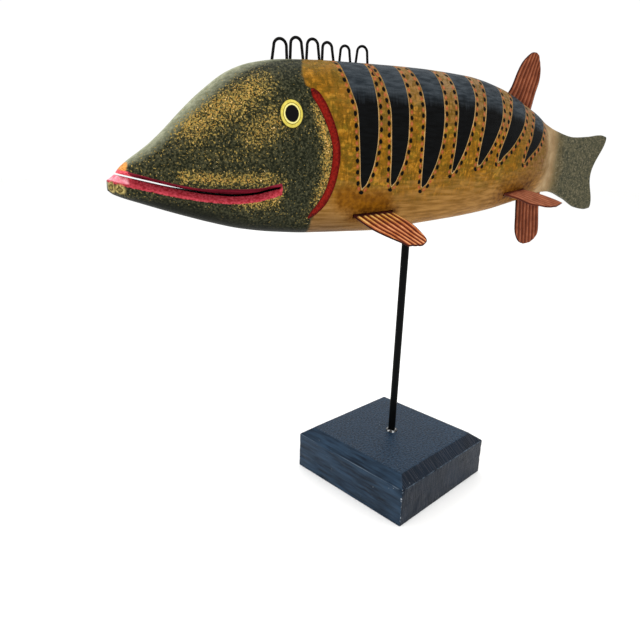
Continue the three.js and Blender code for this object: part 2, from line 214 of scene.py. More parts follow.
def keep_on_points(made, places):
    """Keeps named values with a mesh's points, for its paint to read."""
    for place_name, values in places.items():
        layer = made.data.attributes.new(place_name, "FLOAT", "POINT")
        layer.data.foreach_set("value", values)


def cut_away(made, cutter):
    """Cuts one shape out of another, and keeps nothing of the cutter."""
    bpy.ops.object.select_all(action="DESELECT")
    bpy.context.view_layer.objects.active = made
    cut = made.modifiers.new("cut", "BOOLEAN")
    cut.operation = "DIFFERENCE"
    cut.solver = "MANIFOLD"
    cut.object = cutter
    bpy.ops.object.modifier_apply(modifier="cut")
    bpy.data.objects.remove(cutter)


bpy.ops.object.select_all(action="DESELECT")
side_height_mm = base_height_mm - bevel_drop_mm
bpy.ops.mesh.primitive_cube_add(
    size=1,
    location=(0, 0, side_height_mm / 2 * MM),
    rotation=(0, 0, base_turn),
    scale=(base_width_mm * MM, base_width_mm * MM, side_height_mm * MM),
)
block = bpy.context.object
block.name = "painted_block"
bpy.ops.object.transform_apply(location=True, rotation=True, scale=True)


def raise_bevel():
    bpy.ops.mesh.inset(thickness=bevel_run_mm * MM)
    bpy.ops.transform.translate(value=(0, 0, bevel_drop_mm * MM))
    bpy.ops.mesh.select_all(action="SELECT")
    bpy.ops.mesh.subdivide(number_cuts=face_cuts)
    bpy.ops.mesh.select_all(action="DESELECT")
    bpy.ops.mesh.select_mode(type="EDGE")
    bpy.ops.mesh.edges_select_sharp(sharpness=math.radians(20))
    bpy.ops.mesh.bevel(offset=edge_round_mm * MM, segments=2)


edit_selected(block, raise_bevel, lambda face: face.normal.z > 0.9)

# Knocks and grain go inwards only, so the block keeps its outline.
turn_back = np.array(Matrix.Rotation(-base_turn, 3, "Z"))
points = read_points(block)
normals = read_normals(block)
along_grain = points @ turn_back.T
long_grain = noise_at(along_grain / (1.0, grain_stretch, 1.0), grain_size_mm)
end_grain = noise_at(along_grain, end_grain_size_mm, 9.0)
facing = normals @ turn_back.T
end_share = np.abs(facing[:, 1])
edge_gap = (base_width_mm / 2 - np.abs(along_grain[:, :2])).min(axis=1)
near_edge = np.clip(1 - edge_gap / knocked_band_mm, 0, 1)
dents = np.clip(noise_at(points, dent_size_mm, 31.0) - dents_from, 0, 1) * dent_depth_mm
relief = grain_relief_mm * long_grain * (1 - end_share) + end_relief_mm * end_grain * end_share
relief += dents * near_edge
front_corner = np.array([-base_width_mm / 2, -base_width_mm / 2, side_height_mm])
corner_gap = np.linalg.norm(along_grain - front_corner, axis=1)
relief += np.clip(1 - corner_gap / knocked_band_mm, 0, 1) * corner_knock_mm
above_foot = np.clip(points[:, 2], 0, 1)
points -= normals * (relief * above_foot)[:, None]
widest = base_width_mm / 2 - kept_inside_mm
write_points(block, np.clip(points @ turn_back.T, -widest, widest) @ turn_back)

bpy.ops.object.select_all(action="DESELECT")
rod_bottom_mm = base_height_mm - rod_depth_in_base_mm
bpy.ops.mesh.primitive_cylinder_add(
    vertices=48,
    radius=(rod_diameter_mm / 2 + rod_fit_mm) * MM,
    depth=(base_height_mm - rod_bottom_mm + hole_overrun_mm) * MM,
    location=(0, 0, (base_height_mm + rod_bottom_mm + hole_overrun_mm) / 2 * MM),
)
cut_away(block, bpy.context.object)

# Where the arrises are rubbed and carry a painted highlight, and the front corner is chipped
along_grain = read_points(block) @ turn_back.T
side_gaps = base_width_mm / 2 - np.abs(along_grain[:, :2])
upright_gap = np.linalg.norm(side_gaps, axis=1)
shoulder_gap = np.hypot(side_gaps.min(axis=1), along_grain[:, 2] - side_height_mm)
keep_on_points(block, {
    "arris_gap": np.minimum(upright_gap, shoulder_gap),
    "front_gap": np.linalg.norm(along_grain[:, :2] + base_width_mm / 2, axis=1),
})


def smooth_faces(made, sharpest_degrees):
    """Shades a mesh smooth across every edge less sharp than this."""
    bpy.ops.object.select_all(action="DESELECT")
    made.select_set(True)
    bpy.context.view_layer.objects.active = made
    bpy.ops.object.shade_smooth_by_angle(angle=math.radians(sharpest_degrees))


smooth_faces(block, 35)


def ragged_cover(material, place, mark, straying, start, full, most=1.0):
    """Where a coat lies: none at start and most at full, and its edge strays with a brush mark."""
    strayed = add_node(
        material, "ShaderNodeMath", {0: mark, 1: straying, 2: place}, operation="MULTIPLY_ADD",
    ).outputs[0]
    return add_node(
        material, "ShaderNodeMapRange",
        {"Value": strayed, "From Min": start, "From Max": full, "To Max": most},
    ).outputs[0]


def brush_on(material, coat, cover, tone, darker, lighter):
    """A coat over the last one, mottled from its darker to its lighter colour."""
    colour = add_node(
        material, "ShaderNodeMix", {0: tone, 6: paint(darker), 7: paint(lighter)},
        data_type="RGBA",
    ).outputs[2]
    return add_node(
        material, "ShaderNodeMix", {0: cover, 6: coat, 7: colour}, data_type="RGBA",
    ).outputs[2]


# Black acrylic on softwood: satin with a blue cast that is a painted reflection, plain on top,
# faintly streaked by the grain along the long faces and strongly by the saw across the end faces,
# whose streaks are painted darker and greyer as painted shade. Each mark has its size in
# millimetres along X, Y and Z, its tilt in degrees, its detail and how far it wanders. The nap and
# the saw marks are drawn coarser than real ones, so that they show.
black_paint, black_shader = new_material("black acrylic paint on softwood")
block_place = add_node(black_paint, "ShaderNodeTexCoord", {}).outputs["Object"]
turned = add_node(
    black_paint, "ShaderNodeVectorRotate", {"Vector": block_place, "Angle": -base_turn},
    rotation_type="Z_AXIS",
).outputs[0]
block_marks = {}
for name, sizes_mm, tilt, detail, wander in (
    ("nap", (1.25, 1.25, 1.25), 0, 5, 0), ("grain", (2, 16.67, 2), 0, 4, 0),
    ("saw", (0.909, math.inf, 11.1), 14, 4, 0.35), ("cloud", (16.67, 16.67, 16.67), 0, 3, 0),
    ("scuffs", (1.5625, 1.5625, 1.5625), 0, 4, 0),
):
    stretched = add_node(
        black_paint, "ShaderNodeMapping",
        {"Vector": turned, "Scale": [1 / (size * MM) for size in sizes_mm],
         "Rotation": (0, math.radians(tilt), 0)},
    ).outputs[0]
    block_marks[name] = add_node(
        black_paint, "ShaderNodeTexNoise",
        {"Vector": stretched, "Scale": 1, "Detail": detail, "Distortion": wander},
    ).outputs[0]
block_normal = add_node(
    black_paint, "ShaderNodeVectorRotate",
    {"Vector": add_node(black_paint, "ShaderNodeNewGeometry", {}).outputs["Normal"],
     "Angle": -base_turn},
    rotation_type="Z_AXIS",
).outputs[0]
facing_parts = add_node(black_paint, "ShaderNodeSeparateXYZ", {"Vector": block_normal}).outputs
end_facing = add_node(
    black_paint, "ShaderNodeMath", {0: facing_parts["Y"]}, operation="ABSOLUTE",
).outputs[0]
end_face = add_node(
    black_paint, "ShaderNodeMapRange", {"Value": end_facing, "From Min": 0.4, "From Max": 0.6},
).outputs[0]
top_face = add_node(
    black_paint, "ShaderNodeMapRange",
    {"Value": facing_parts["Z"], "From Min": 0.88, "From Max": 0.97},
).outputs[0]
streaks = {}
for name, low, high, strongest in (
    ("nap", 0.35, 0.65, 0.55), ("grain", 0.3, 0.7, 0.5), ("saw", 0.48, 0.64, 0.85),
    ("cloud", 0.3, 0.7, 0.6),
):
    streaks[name] = add_node(
        black_paint, "ShaderNodeMapRange",
        {"Value": block_marks[name], "From Min": low, "From Max": high, "To Max": strongest},
    ).outputs[0]
side_marks = add_node(
    black_paint, "ShaderNodeMix", {0: end_face, 2: streaks["grain"], 3: streaks["saw"]},
).outputs[0]
face_marks = add_node(
    black_paint, "ShaderNodeMix", {0: top_face, 2: side_marks, 3: streaks["nap"]},
).outputs[0]
# The blue-black ground under the streaks: a painted reflection
clouded_blue_reflection = add_node(
    black_paint, "ShaderNodeMix",
    {0: streaks["cloud"], 6: paint("#050f1a"), 7: paint("#0f2133")}, data_type="RGBA",
).outputs[2]
# The end faces' streaks get the darker, greyer tone: painted shade
black_colour = brush_on(black_paint, clouded_blue_reflection, face_marks, end_face, "#364f67", "#2b2f38")

# Rubbed arrises with a painted highlight along them, chips down the front corner and a few pale
# specks
for name, gap_name, mark, straying, start, full, strongest, tone in (
    ("rubbed_arris_highlight", "arris_gap", "grain", 1.1, 1.0, 0.75, 0.65, "#5d6c7a"),
    ("chips", "front_gap", "scuffs", -9.0, -4.75, -5.3, 0.8, "#a4abb2"),
):
    gap = add_node(black_paint, "ShaderNodeAttribute", {}, attribute_name=gap_name).outputs["Fac"]
    cover = ragged_cover(black_paint, gap, block_marks[mark], straying, start, full, strongest)
    black_colour = add_node(
        black_paint, "ShaderNodeMix", {0: cover, 6: black_colour, 7: paint(tone)},
        data_type="RGBA",
    ).outputs[2]
specks = add_node(
    black_paint, "ShaderNodeMapRange",
    {"Value": block_marks["scuffs"], "From Min": 0.73, "From Max": 0.76, "To Max": 0.7},
).outputs[0]
scuffed_colour = add_node(
    black_paint, "ShaderNodeMix", {0: specks, 6: black_colour, 7: paint("#a6adb3")},
    data_type="RGBA",
).outputs[2]
black_bump = add_node(
    black_paint, "ShaderNodeBump", {"Height": face_marks, "Strength": 0.5, "Distance": 0.0006},
).outputs[0]
fill_sockets(black_paint, black_shader, {
    "Base Color": scuffed_colour, "Roughness": 0.42, "Normal": black_bump,
    "Specular IOR Level": 0.12,
})
block.data.materials.clear()
block.data.materials.append(black_paint)
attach(block, "root")
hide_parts("stand_base")

# The rod: 3/16 inch steel rod, painted black, pushed into the block and up into the belly. A bead
# of clear glue has set round its foot.
belly_height_mm = 169
body_depth_mm = 90
belly_level_at_rod = 0.0035
rod_depth_in_fish_mm = 24
rod_end_round_mm = 0.4
bead_radius_mm = 2.85
bead_half_thickness_mm = 1.05
bead_flattening = 0.75
bead_lift_mm = 0.1
bead_unevenness = 0.14
rod_top_mm = belly_height_mm + belly_level_at_rod * body_depth_mm + rod_depth_in_fish_mm
bpy.ops.object.select_all(action="DESELECT")
bpy.ops.mesh.primitive_cylinder_add(
    vertices=48, radius=rod_diameter_mm / 2 * MM, depth=(rod_top_mm - rod_bottom_mm) * MM,
    location=(0, 0, (rod_top_mm + rod_bottom_mm) / 2 * MM),
)
rod = bpy.context.object
rod.name = "painted_rod"
bpy.ops.object.transform_apply(location=True, rotation=True, scale=True)


def soften_rod_ends():
    bpy.ops.mesh.select_mode(type="EDGE")
    bpy.ops.mesh.select_all(action="DESELECT")
    bpy.ops.mesh.edges_select_sharp(sharpness=math.radians(60))
    bpy.ops.mesh.bevel(offset=rod_end_round_mm * MM, segments=3)


edit_selected(rod, soften_rod_ends)
bpy.ops.object.select_all(action="DESELECT")
bpy.ops.mesh.primitive_torus_add(
    major_segments=48, minor_segments=16, major_radius=bead_radius_mm * MM,
    minor_radius=bead_half_thickness_mm * MM, location=(0, 0, (base_height_mm + bead_lift_mm) * MM),
)
glue_bead = bpy.context.object
glue_bead.name = "glue_bead"
glue_bead.scale = (1, 1, bead_flattening)
bpy.ops.object.transform_apply(location=True, rotation=True, scale=True)
points = read_points(glue_bead)
bead_swell = 1 + bead_unevenness * (noise_at(points * (1, 1, 0), 2.2, 4.0) - 0.5)
write_points(glue_bead, points * np.stack([bead_swell, bead_swell, np.ones(len(points))], axis=1))

# Enamel brushed thinly on steel: nearly black, with a low sheen that the brush left uneven. Its
# marks are drawn 1.4 mm apart, so that they show.
rod_paint, rod_shader = new_material("black enamel on steel rod")
rod_place = add_node(rod_paint, "ShaderNodeTexCoord", {}).outputs["Object"]
rod_noise = add_node(
    rod_paint, "ShaderNodeTexNoise",
    {"Vector": rod_place, "Scale": 1 / (1.429 * MM), "Detail": 3},
).outputs[0]
rod_gloss = add_node(
    rod_paint, "ShaderNodeMapRange", {"Value": rod_noise, "To Min": 0.28, "To Max": 0.5},
).outputs[0]
rod_bump = add_node(
    rod_paint, "ShaderNodeBump", {"Height": rod_noise, "Strength": 0.25, "Distance": 0.0003},
).outputs[0]
rod_colour = add_node(
    rod_paint, "ShaderNodeMix",
    {0: rod_noise, 6: paint("#020303"), 7: paint("#0a0c0d")}, data_type="RGBA",
).outputs[2]
fill_sockets(rod_paint, rod_shader, {
    "Base Color": rod_colour, "Roughness": rod_gloss, "Normal": rod_bump,
    "Specular IOR Level": 0.05,
})

# Set glue is clear and very smooth, so the black shows through it, with pale painted glints 2 mm
# apart.
glue, glue_shader = new_material("set clear glue over black")
glue_place = add_node(glue, "ShaderNodeTexCoord", {}).outputs["Object"]
glue_noise = add_node(
    glue, "ShaderNodeTexNoise", {"Vector": glue_place, "Scale": 1 / (2 * MM), "Detail": 2},
).outputs[0]
painted_glint_share = add_node(
    glue, "ShaderNodeMapRange", {"Value": glue_noise, "From Min": 0.5, "From Max": 0.62},
).outputs[0]
glue_colour = add_node(
    glue, "ShaderNodeMix", {0: painted_glint_share, 6: paint("#0f1113"), 7: paint("#d4d8da")},
    data_type="RGBA",
).outputs[2]
fill_sockets(glue, glue_shader, {"Base Color": glue_colour, "Roughness": 0.08})
rod.data.materials.append(rod_paint)
glue_bead.data.materials.append(glue)
for made in (rod, glue_bead):
    smooth_faces(made, 40)
    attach(made, "root")
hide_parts("stand_rod")

# The fish: one piece of softwood, sawn to its side view, shaved round, and sanded to soft planes.
# A V is cut along each side of the mouth, a saw kerf runs in from the snout, and gouged lines mark
# the gills. It is painted in oils over its whole skin and varnished.
fish_length_mm = 335
snout_x_mm = -171.4
body_width_mm = 50
snout_round_mm = 9
tail_notch_mm = 8
tail_skew_mm = 5.5
tail_start = 0.873
hand_waves_mm = 0.3
plane_size_mm = 13.0
wave_size_mm = 6.5
full_shaving_half_width_mm = 8
least_shaving = 0.15
skin_columns = 184
first_ring = 0.0006
close_rings_end = 0.0306


def smooth_line(pairs):
    """A smooth line through (share, value) pairs that doesn't swing past them."""
    at, value = np.array(pairs, float).T
    step = np.diff(value) / np.diff(at)
    before, after = step[:-1], step[1:]
    same_way = before * after > 0
    slope = np.where(same_way, 2 * before * after / np.where(same_way, before + after, 1), 0)
    slope = np.concatenate([step[:1], slope, step[-1:]])

    def line(share):
        share = np.clip(share, at[0], at[-1])
        i = np.clip(np.searchsorted(at, share) - 1, 0, len(at) - 2)
        run = at[i + 1] - at[i]
        t = (share - at[i]) / run
        ease = t * t * (3 - 2 * t)
        curved = slope[i] * t * (1 - t) ** 2 + slope[i + 1] * t * t * (t - 1)
        return value[i] * (1 - ease) + value[i + 1] * ease + curved * run

    return line


back_line = smooth_line([
    (0, .305), (.012, .342), (.018, .372), (.06, .496), (.135, .768), (.177, .886), (.21, .937),
    (.26, .971), (.35, .99), (.5, 1), (.6, .99), (.68, .944), (.775, .815), (.85, .69),
    (.905, .652), (.95, .662), (.985, .678), (1, .668),
])
belly_line = smooth_line([
    (0, .255), (.007, .232), (.046, .181), (.094, .126), (.145, .074), (.195, .033), (.246, .011),
    (.306, 0), (.44, 0), (.515, .035), (.613, .077), (.69, .118), (.762, .178), (.849, .246),
    (.909, .188), (.953, .122), (.985, .107), (1, .115),
])
width_line = smooth_line([
    (0, .44), (.05, .5), (.09, .58), (.165, .76), (.245, .9), (.33, .98), (.45, 1), (.57, .97),
    (.66, .86), (.735, .7), (.782, .56), (.8, .47), (.822, .3), (.84, .2), (.86, .165),
    (.91, .13), (1, .09),
])
squareness_line = smooth_line([
    (0, 2.2), (.2, 2.35), (.35, 2.6), (.55, 2.5), (.72, 2.1), (.81, 2), (.86, 4), (1, 5),
])


def along_to_x(share):
    return snout_x_mm + share * fish_length_mm


def x_to_along(x):
    return (x - snout_x_mm) / fish_length_mm


def level_to_z(level):
    return belly_height_mm + level * body_depth_mm


def half_width(share):
    into_snout = np.minimum(1, share * fish_length_mm / snout_round_mm)
    rounding = np.sqrt(np.clip(1 - (1 - into_snout) ** 2, 0, 1))
    return body_width_mm / 2 * width_line(share) * rounding


def section_middle(share):
    return level_to_z((back_line(share) + belly_line(share)) / 2)


def section_half_height(share):
    return body_depth_mm * (back_line(share) - belly_line(share)) / 2


def flank_out(share, z):
    """How far the skin stands from the middle plane at a share of the length and a height."""
    lift = np.abs((z - section_middle(share)) / section_half_height(share))
    power = squareness_line(share)
    return half_width(share) * np.clip(1 - lift ** power, 0, 1) ** (1 / power)


def flank_point(share, z, side):
    return np.stack([along_to_x(share), side * flank_out(share, z), z], axis=-1)


def unit(vectors):
    return vectors / np.linalg.norm(vectors, axis=-1, keepdims=True)


def flank_normal(share, z, side):
    """Which way the skin faces there, found from four places close round it."""
    nudge = 0.004
    rise = nudge * fish_length_mm
    forward = flank_point(share + nudge, z, side) - flank_point(share - nudge, z, side)
    upward = flank_point(share, z + rise, side) - flank_point(share, z - rise, side)
    return unit(np.cross(forward, upward) * -side)


def tail_x(share, rise):
    """Past the tail's start the sections lean and hollow towards the shape of its end."""
    start = along_to_x(tail_start)
    end = along_to_x(1) - tail_skew_mm * (1 - rise) - tail_notch_mm * np.sin(np.pi * rise) ** 2
    into_tail = np.clip((share - tail_start) / (1 - tail_start), 0, 1)
    return np.where(share <= tail_start, along_to_x(share), start + into_tail * (end - start))


def half_section(share, angles):
    """Half a cross-section from the crown down to the belly: how far out and how far up."""
    power = 2 / squareness_line(share)
    across = half_width(share) * np.sin(angles) ** power
    up = np.sign(np.cos(angles)) * np.abs(np.cos(angles)) ** power
    return across, up


def close_skin():
    """Merges the points that meet and turns every face outwards."""
    bpy.ops.mesh.select_all(action="SELECT")
    bpy.ops.mesh.remove_doubles(threshold=1e-6)
    bpy.ops.mesh.normals_make_consistent(inside=False)


def wrap_sheet(name, rings, places=()):
    """A fine flat grid wrapped round into a skin: one row of points for each ring, in millimetres.
    It is made this way because no operator follows a section line."""
    rows, columns = rings.shape[:2]
    bpy.ops.object.select_all(action="DESELECT")
    bpy.ops.mesh.primitive_grid_add(x_subdivisions=rows - 1, y_subdivisions=columns, size=1)
    made = bpy.context.object
    made.name = name
    share = read_points(made) * MM + 0.5
    row = np.rint(share[:, 0] * (rows - 1)).astype(int)
    column = np.rint(share[:, 1] * columns).astype(int) % columns
    write_points(made, rings[row, column])
    keep_on_points(made, {name: values[row, column] for name, values in dict(places).items()})
    edit_selected(made, close_skin)
    return made


def closed_at_ends(rings):
    """Adds a row at each end that draws the ring in to its middle."""
    first = np.repeat(rings[:1].mean(axis=1, keepdims=True), rings.shape[1], axis=1)
    last = np.repeat(rings[-1:].mean(axis=1, keepdims=True), rings.shape[1], axis=1)
    return np.concatenate([first, rings, last])


# The blank. Its rings are closest together at the snout, and each ring's points are even along it.
skin_shares = np.concatenate([
    first_ring + (close_rings_end - first_ring) * np.linspace(0, 1, 26) ** 2,
    np.linspace(close_rings_end, 1, 268)[1:],
])
fine_angles = np.linspace(0, np.pi, 721)
half_columns = skin_columns // 2
skin_rings = []
for share in skin_shares:
    across, up = half_section(share, fine_angles)
    height = section_half_height(share)
    run = np.concatenate([[0], np.cumsum(np.hypot(np.diff(across), np.diff(up * height)))])
    even = np.linspace(0, run[-1], half_columns + 1)
    across = np.interp(even, run, across)
    up = np.interp(even, run, up)
    x = tail_x(np.full(len(up), share), (up + 1) / 2)
    left = np.stack([x, -across, section_middle(share) + height * up], axis=1)
    right = left[-2:0:-1] * (1, -1, 1)
    skin_rings.append(np.concatenate([left, right]))
skin_rings = np.array(skin_rings)

# Each end is closed flat, by rows that shrink sideways to its middle line.
pinches = np.ones((4, 1, 3))
pinches[:, 0, 1] = (0, 0.35, 0.65, 0.87)
snout_cap = skin_rings[:1] * pinches
tail_cap = skin_rings[-1:] * pinches[::-1]
fish = wrap_sheet("carved_fish", np.concatenate([snout_cap, skin_rings, tail_cap]))

# What the spokeshave and the sandpaper left: long soft planes, all cut inwards, and less where the
# wood is thin
points = read_points(fish)
normals = read_normals(fish)
planes = noise_at(points / (3.0, 1.0, 1.0), plane_size_mm, 2.0)
waves = noise_at(points / (2.2, 1.0, 1.0), wave_size_mm, 17.0)
shaved = hand_waves_mm * np.clip(0.75 * planes + 0.5 * waves, 0, 1.2)
thickness_share = half_width(x_to_along(points[:, 0])) / full_shaving_half_width_mm
shaved *= np.clip(thickness_share, least_shaving, 1)
write_points(fish, points - normals * shaved[:, None])

# The V-cut lips: their floor is the mouth line, and they run out at the mouth's corners.
mouth_line = smooth_line([
    (-.02, .367), (.055, .303), (.1, .267), (.14, .246), (.172, .238), (.2, .246), (.238, .284),
])
mouth_end = 0.238
mouth_depth_mm = 5
deepest_share_of_flank = 0.45
lip_height_mm = 4.5
lip_start = 0.02
upper_lip_line = smooth_line([(0, .49), (.11, .31), (.17, .62), (.238, .4)])
lower_lip_line = smooth_line([(0, 1), (.11, .93), (.238, .84)])
overrun_mm = 3
corner_run = 0.018
corner_closing = 0.35
wall_steps = 10
lips_from = -0.012
lip_rings = 110


def lip_cutter(side):
    """A three-sided wedge that follows the mouth line, with its edge at the V's floor."""
    rings = []
    for share in np.linspace(lips_from, mouth_end, lip_rings):
        inside = max(share, lip_start)
        floor = level_to_z(mouth_line(share))
        flank = flank_out(inside, level_to_z(mouth_line(inside)))
        into_corner = np.clip((share - mouth_end + corner_run) / corner_run, 0, 1)
        closing = 1 - (1 - corner_closing) * into_corner
        depth = min(mouth_depth_mm, deepest_share_of_flank * flank) * closing
        grow = closing * lip_height_mm * (depth + overrun_mm) / depth
        x = along_to_x(share)
        corners = np.array([
            (x, side * (flank - depth), floor),
            (x, side * (flank + overrun_mm), floor + upper_lip_line(share) * grow),
            (x, side * (flank + overrun_mm), floor - lower_lip_line(share) * grow),
        ])
        steps = np.linspace(0, 1, wall_steps, endpoint=False)[:, None]
        rings.append(np.concatenate([
            corners[i] * (1 - steps) + corners[(i + 1) % 3] * steps for i in range(3)
        ]))
    return wrap_sheet("lip_cutter", closed_at_ends(np.array(rings)))


# The saw kerf, right through from side to side. It closes up part of the way along.
kerf_width_mm = 1.0
kerf_from = -0.02
kerf_end = 0.234
kerf_closes = (0.075, 0.125)
kerf_closed_to = 0.4
kerf_rings = 60


def kerf_cutter():
    """A thin wavy plate that follows the mouth line."""
    rings = []
    for share in np.linspace(kerf_from, kerf_end, kerf_rings):
        x, z = along_to_x(share), level_to_z(mouth_line(share))
        outs = np.linspace(-body_width_mm / 2, body_width_mm / 2, 13)
        half = kerf_width_mm / 2 * float(np.interp(share, kerf_closes, (1, kerf_closed_to)))
        lower = [(x, y, z - half) for y in outs]
        upper = [(x, y, z + half) for y in outs[::-1]]
        rings.append(lower + upper)
    return wrap_sheet("kerf_cutter", closed_at_ends(np.array(rings)))


# The gill lines, gouged, blunt at the top and pointed at the throat
gill_path = [
    (.287, .8), (.304, .7), (.3195, .56), (.3235, .45), (.318, .31), (.3065, .2), (.288, .11),
]
gill_width_mm = 4.0
gill_depth_mm = 1.5


def smooth_path(knots, shares):
    """Points along a smooth curve that passes through the knots."""
    knots = np.array(knots, float)
    padded = np.concatenate([knots[:1], knots, knots[-1:]])
    t = np.asarray(shares) * (len(knots) - 1)
    i = np.minimum(t.astype(int), len(knots) - 2)
    t = (t - i)[:, None]
    p0, p1, p2, p3 = padded[i], padded[i + 1], padded[i + 2], padded[i + 3]
    return 0.5 * (2 * p1 + (p2 - p0) * t + (2 * p0 - 5 * p1 + 4 * p2 - p3) * t ** 2
                  + (3 * p1 - p0 - 3 * p2 + p3) * t ** 3)


gill_steps = 90
gill_places = np.array([(share, level_to_z(level)) for share, level in gill_path])
gill_runs = np.linspace(0, 1, gill_steps)
gill_centres = smooth_path(gill_places, gill_runs)
gill_swell = np.interp(
    gill_runs, (0, 0.015, 0.04, 0.12, 0.25, 0.7, 0.85, 0.95, 1),
    (0.5, 0.85, 1.08, 1.08, 1, 1, 1, 0.75, 0.25),
)


def gill_cutter(side):
    """A round-bottomed bar that follows the gill line along the skin."""
    centres = flank_point(gill_centres[:, 0], gill_centres[:, 1], side)
    out = flank_normal(gill_centres[:, 0], gill_centres[:, 1], side)
    across = unit(np.cross(np.gradient(centres, axis=0), out))
    angles = np.linspace(0, 2 * np.pi, 20, endpoint=False)
    reach = np.cos(angles) * gill_width_mm / 2
    sink = np.sin(angles) * gill_depth_mm
    swell = gill_swell[:, None, None]
    rings = centres[:, None] + swell * (
        across[:, None] * reach[:, None] + out[:, None] * sink[:, None]
    )
    return wrap_sheet("gill_cutter", closed_at_ends(rings))


# The eyes' shallow seats and the hole for the rod
eye_share, eye_level = 0.252, 0.67
eye_width_mm = 11.4
eye_height_mm = 13.2
eye_seat_depth_mm = 1
fit_gap_mm = 0.1
seat_overrun_mm = 3
rod_hole_gap_mm = 0.15
rod_hole_overrun_mm = 5


def eye_frame(side):
    """An eye's own frame: X forwards along the flank, Y out of it, Z up it."""
    z = level_to_z(eye_level)
    out = flank_normal(eye_share, z, side)
    forward = unit(np.array((1, 0, 0)) - out * out[0])
    up = np.cross(forward, out)
    frame_matrix = np.eye(4)
    frame_matrix[:3, :4] = np.stack([forward, out, up, flank_point(eye_share, z, side)], axis=1)
    return frame_matrix


def placed(points, frame_matrix):
    """Points of a frame of their own, at their places in the scene."""
    return points @ frame_matrix[:3, :3].T + frame_matrix[:3, 3]


def eye_seat_cutter(side):
    """An oval disc that sinks a seat to its depth and stands clear of the skin outside it."""
    bpy.ops.object.select_all(action="DESELECT")
    bpy.ops.mesh.primitive_cylinder_add(
        vertices=72, radius=1, depth=1, rotation=(math.pi / 2, 0, 0),
    )
    cutter = bpy.context.object
    bpy.ops.object.transform_apply(location=True, rotation=True, scale=True)
    sizes = (eye_width_mm / 2 + fit_gap_mm, eye_seat_depth_mm + seat_overrun_mm,
             eye_height_mm / 2 + fit_gap_mm)
    middle = (0, (seat_overrun_mm - eye_seat_depth_mm) / 2, 0)
    points = read_points(cutter) * MM * sizes + middle
    write_points(cutter, placed(points, eye_frame(side)))
    edit_selected(cutter, close_skin)
    return cutter


bpy.ops.object.select_all(action="DESELECT")
bpy.ops.mesh.primitive_cylinder_add(
    vertices=40, radius=(rod_diameter_mm / 2 + rod_hole_gap_mm) * MM,
    depth=(rod_depth_in_fish_mm + rod_hole_overrun_mm) * MM,
    location=(0, 0, (belly_height_mm + (rod_depth_in_fish_mm - rod_hole_overrun_mm) / 2) * MM),
)
rod_hole = bpy.context.object
bpy.ops.object.transform_apply(location=True, rotation=True, scale=True)
cut_away(fish, rod_hole)
for side in (-1, 1):
    for make_cutter in (lip_cutter, gill_cutter, eye_seat_cutter):
        cut_away(fish, make_cutter(side))
cut_away(fish, kerf_cutter())

# The slots for the fins' tongues. Each fin's root runs between two places on the body, given as a
# share of its length and a level. The four low on the sides droop. The two on the middle line are
# upright, and 1 stands for up and -1 for down.
fin_thickness_mm = 2.2
fin_tongue_mm = 6
slot_gap_mm = 0.18
slot_overrun_mm = 6
side_fin_droop = math.radians(30)
side_fin_roots = {
    "pectoral_fin": [(.366, .115), (.439, .138)],
    "pelvic_fin": [(.695, .237), (.751, .264)],
}
middle_fin_roots = {
    "dorsal_fin": ([(.7155, .919), (.7785, .83)], 1),
    "anal_fin": ([(.77, .195), (.834, .239)], -1),
}


def fin_frame(front, rear, outward):
    """A fin's own frame, X along its root, Y out along the blade and Z square to it, and how long
    the root is."""
    along = unit(rear - front)
    blade = unit(outward - along * (outward @ along))
    frame_matrix = np.eye(4)
    frame_matrix[:3, :4] = np.stack([along, blade, np.cross(along, blade), front], axis=1)
    return frame_matrix, np.linalg.norm(rear - front)


def slot_cutter(frame_matrix, root_length):
    """A block a little larger than the fin's tongue, which stands clear of the skin outside it."""
    bpy.ops.object.select_all(action="DESELECT")
    bpy.ops.mesh.primitive_cube_add(size=1)
    cutter = bpy.context.object
    sizes = (root_length + 2 * slot_gap_mm, fin_tongue_mm + slot_gap_mm + slot_overrun_mm,
             fin_thickness_mm + 2 * slot_gap_mm)
    middle = (root_length / 2, (slot_overrun_mm - fin_tongue_mm - slot_gap_mm) / 2, 0)
    write_points(cutter, placed(read_points(cutter) * MM * sizes + middle, frame_matrix))
    return cutter


fin_frames = {}
for fin_name, root in side_fin_roots.items():
    for side, word in ((-1, "left"), (1, "right")):
        ends = [flank_point(share, level_to_z(level), side) for share, level in root]
        outward = np.array((0, side * math.cos(side_fin_droop), -math.sin(side_fin_droop)))
        fin_frames[f"{fin_name}_{word}"] = fin_frame(*ends, outward)
for fin_name, (root, way) in middle_fin_roots.items():
    ends = [np.array((along_to_x(share), 0, level_to_z(level))) for share, level in root]
    fin_frames[fin_name] = fin_frame(*ends, np.array((0, 0, way)))
for matrix_and_length in fin_frames.values():
    cut_away(fish, slot_cutter(*matrix_and_length))

# The fish's paint. Each colour's place is measured on the skin in millimetres and kept with its
# points: along the fish, and down from the crown of the back round the girth, alike on both sides.
smooth_faces(fish, 38)
points = read_points(fish)
share = np.clip(x_to_along(points[:, 0]), first_ring, 1)

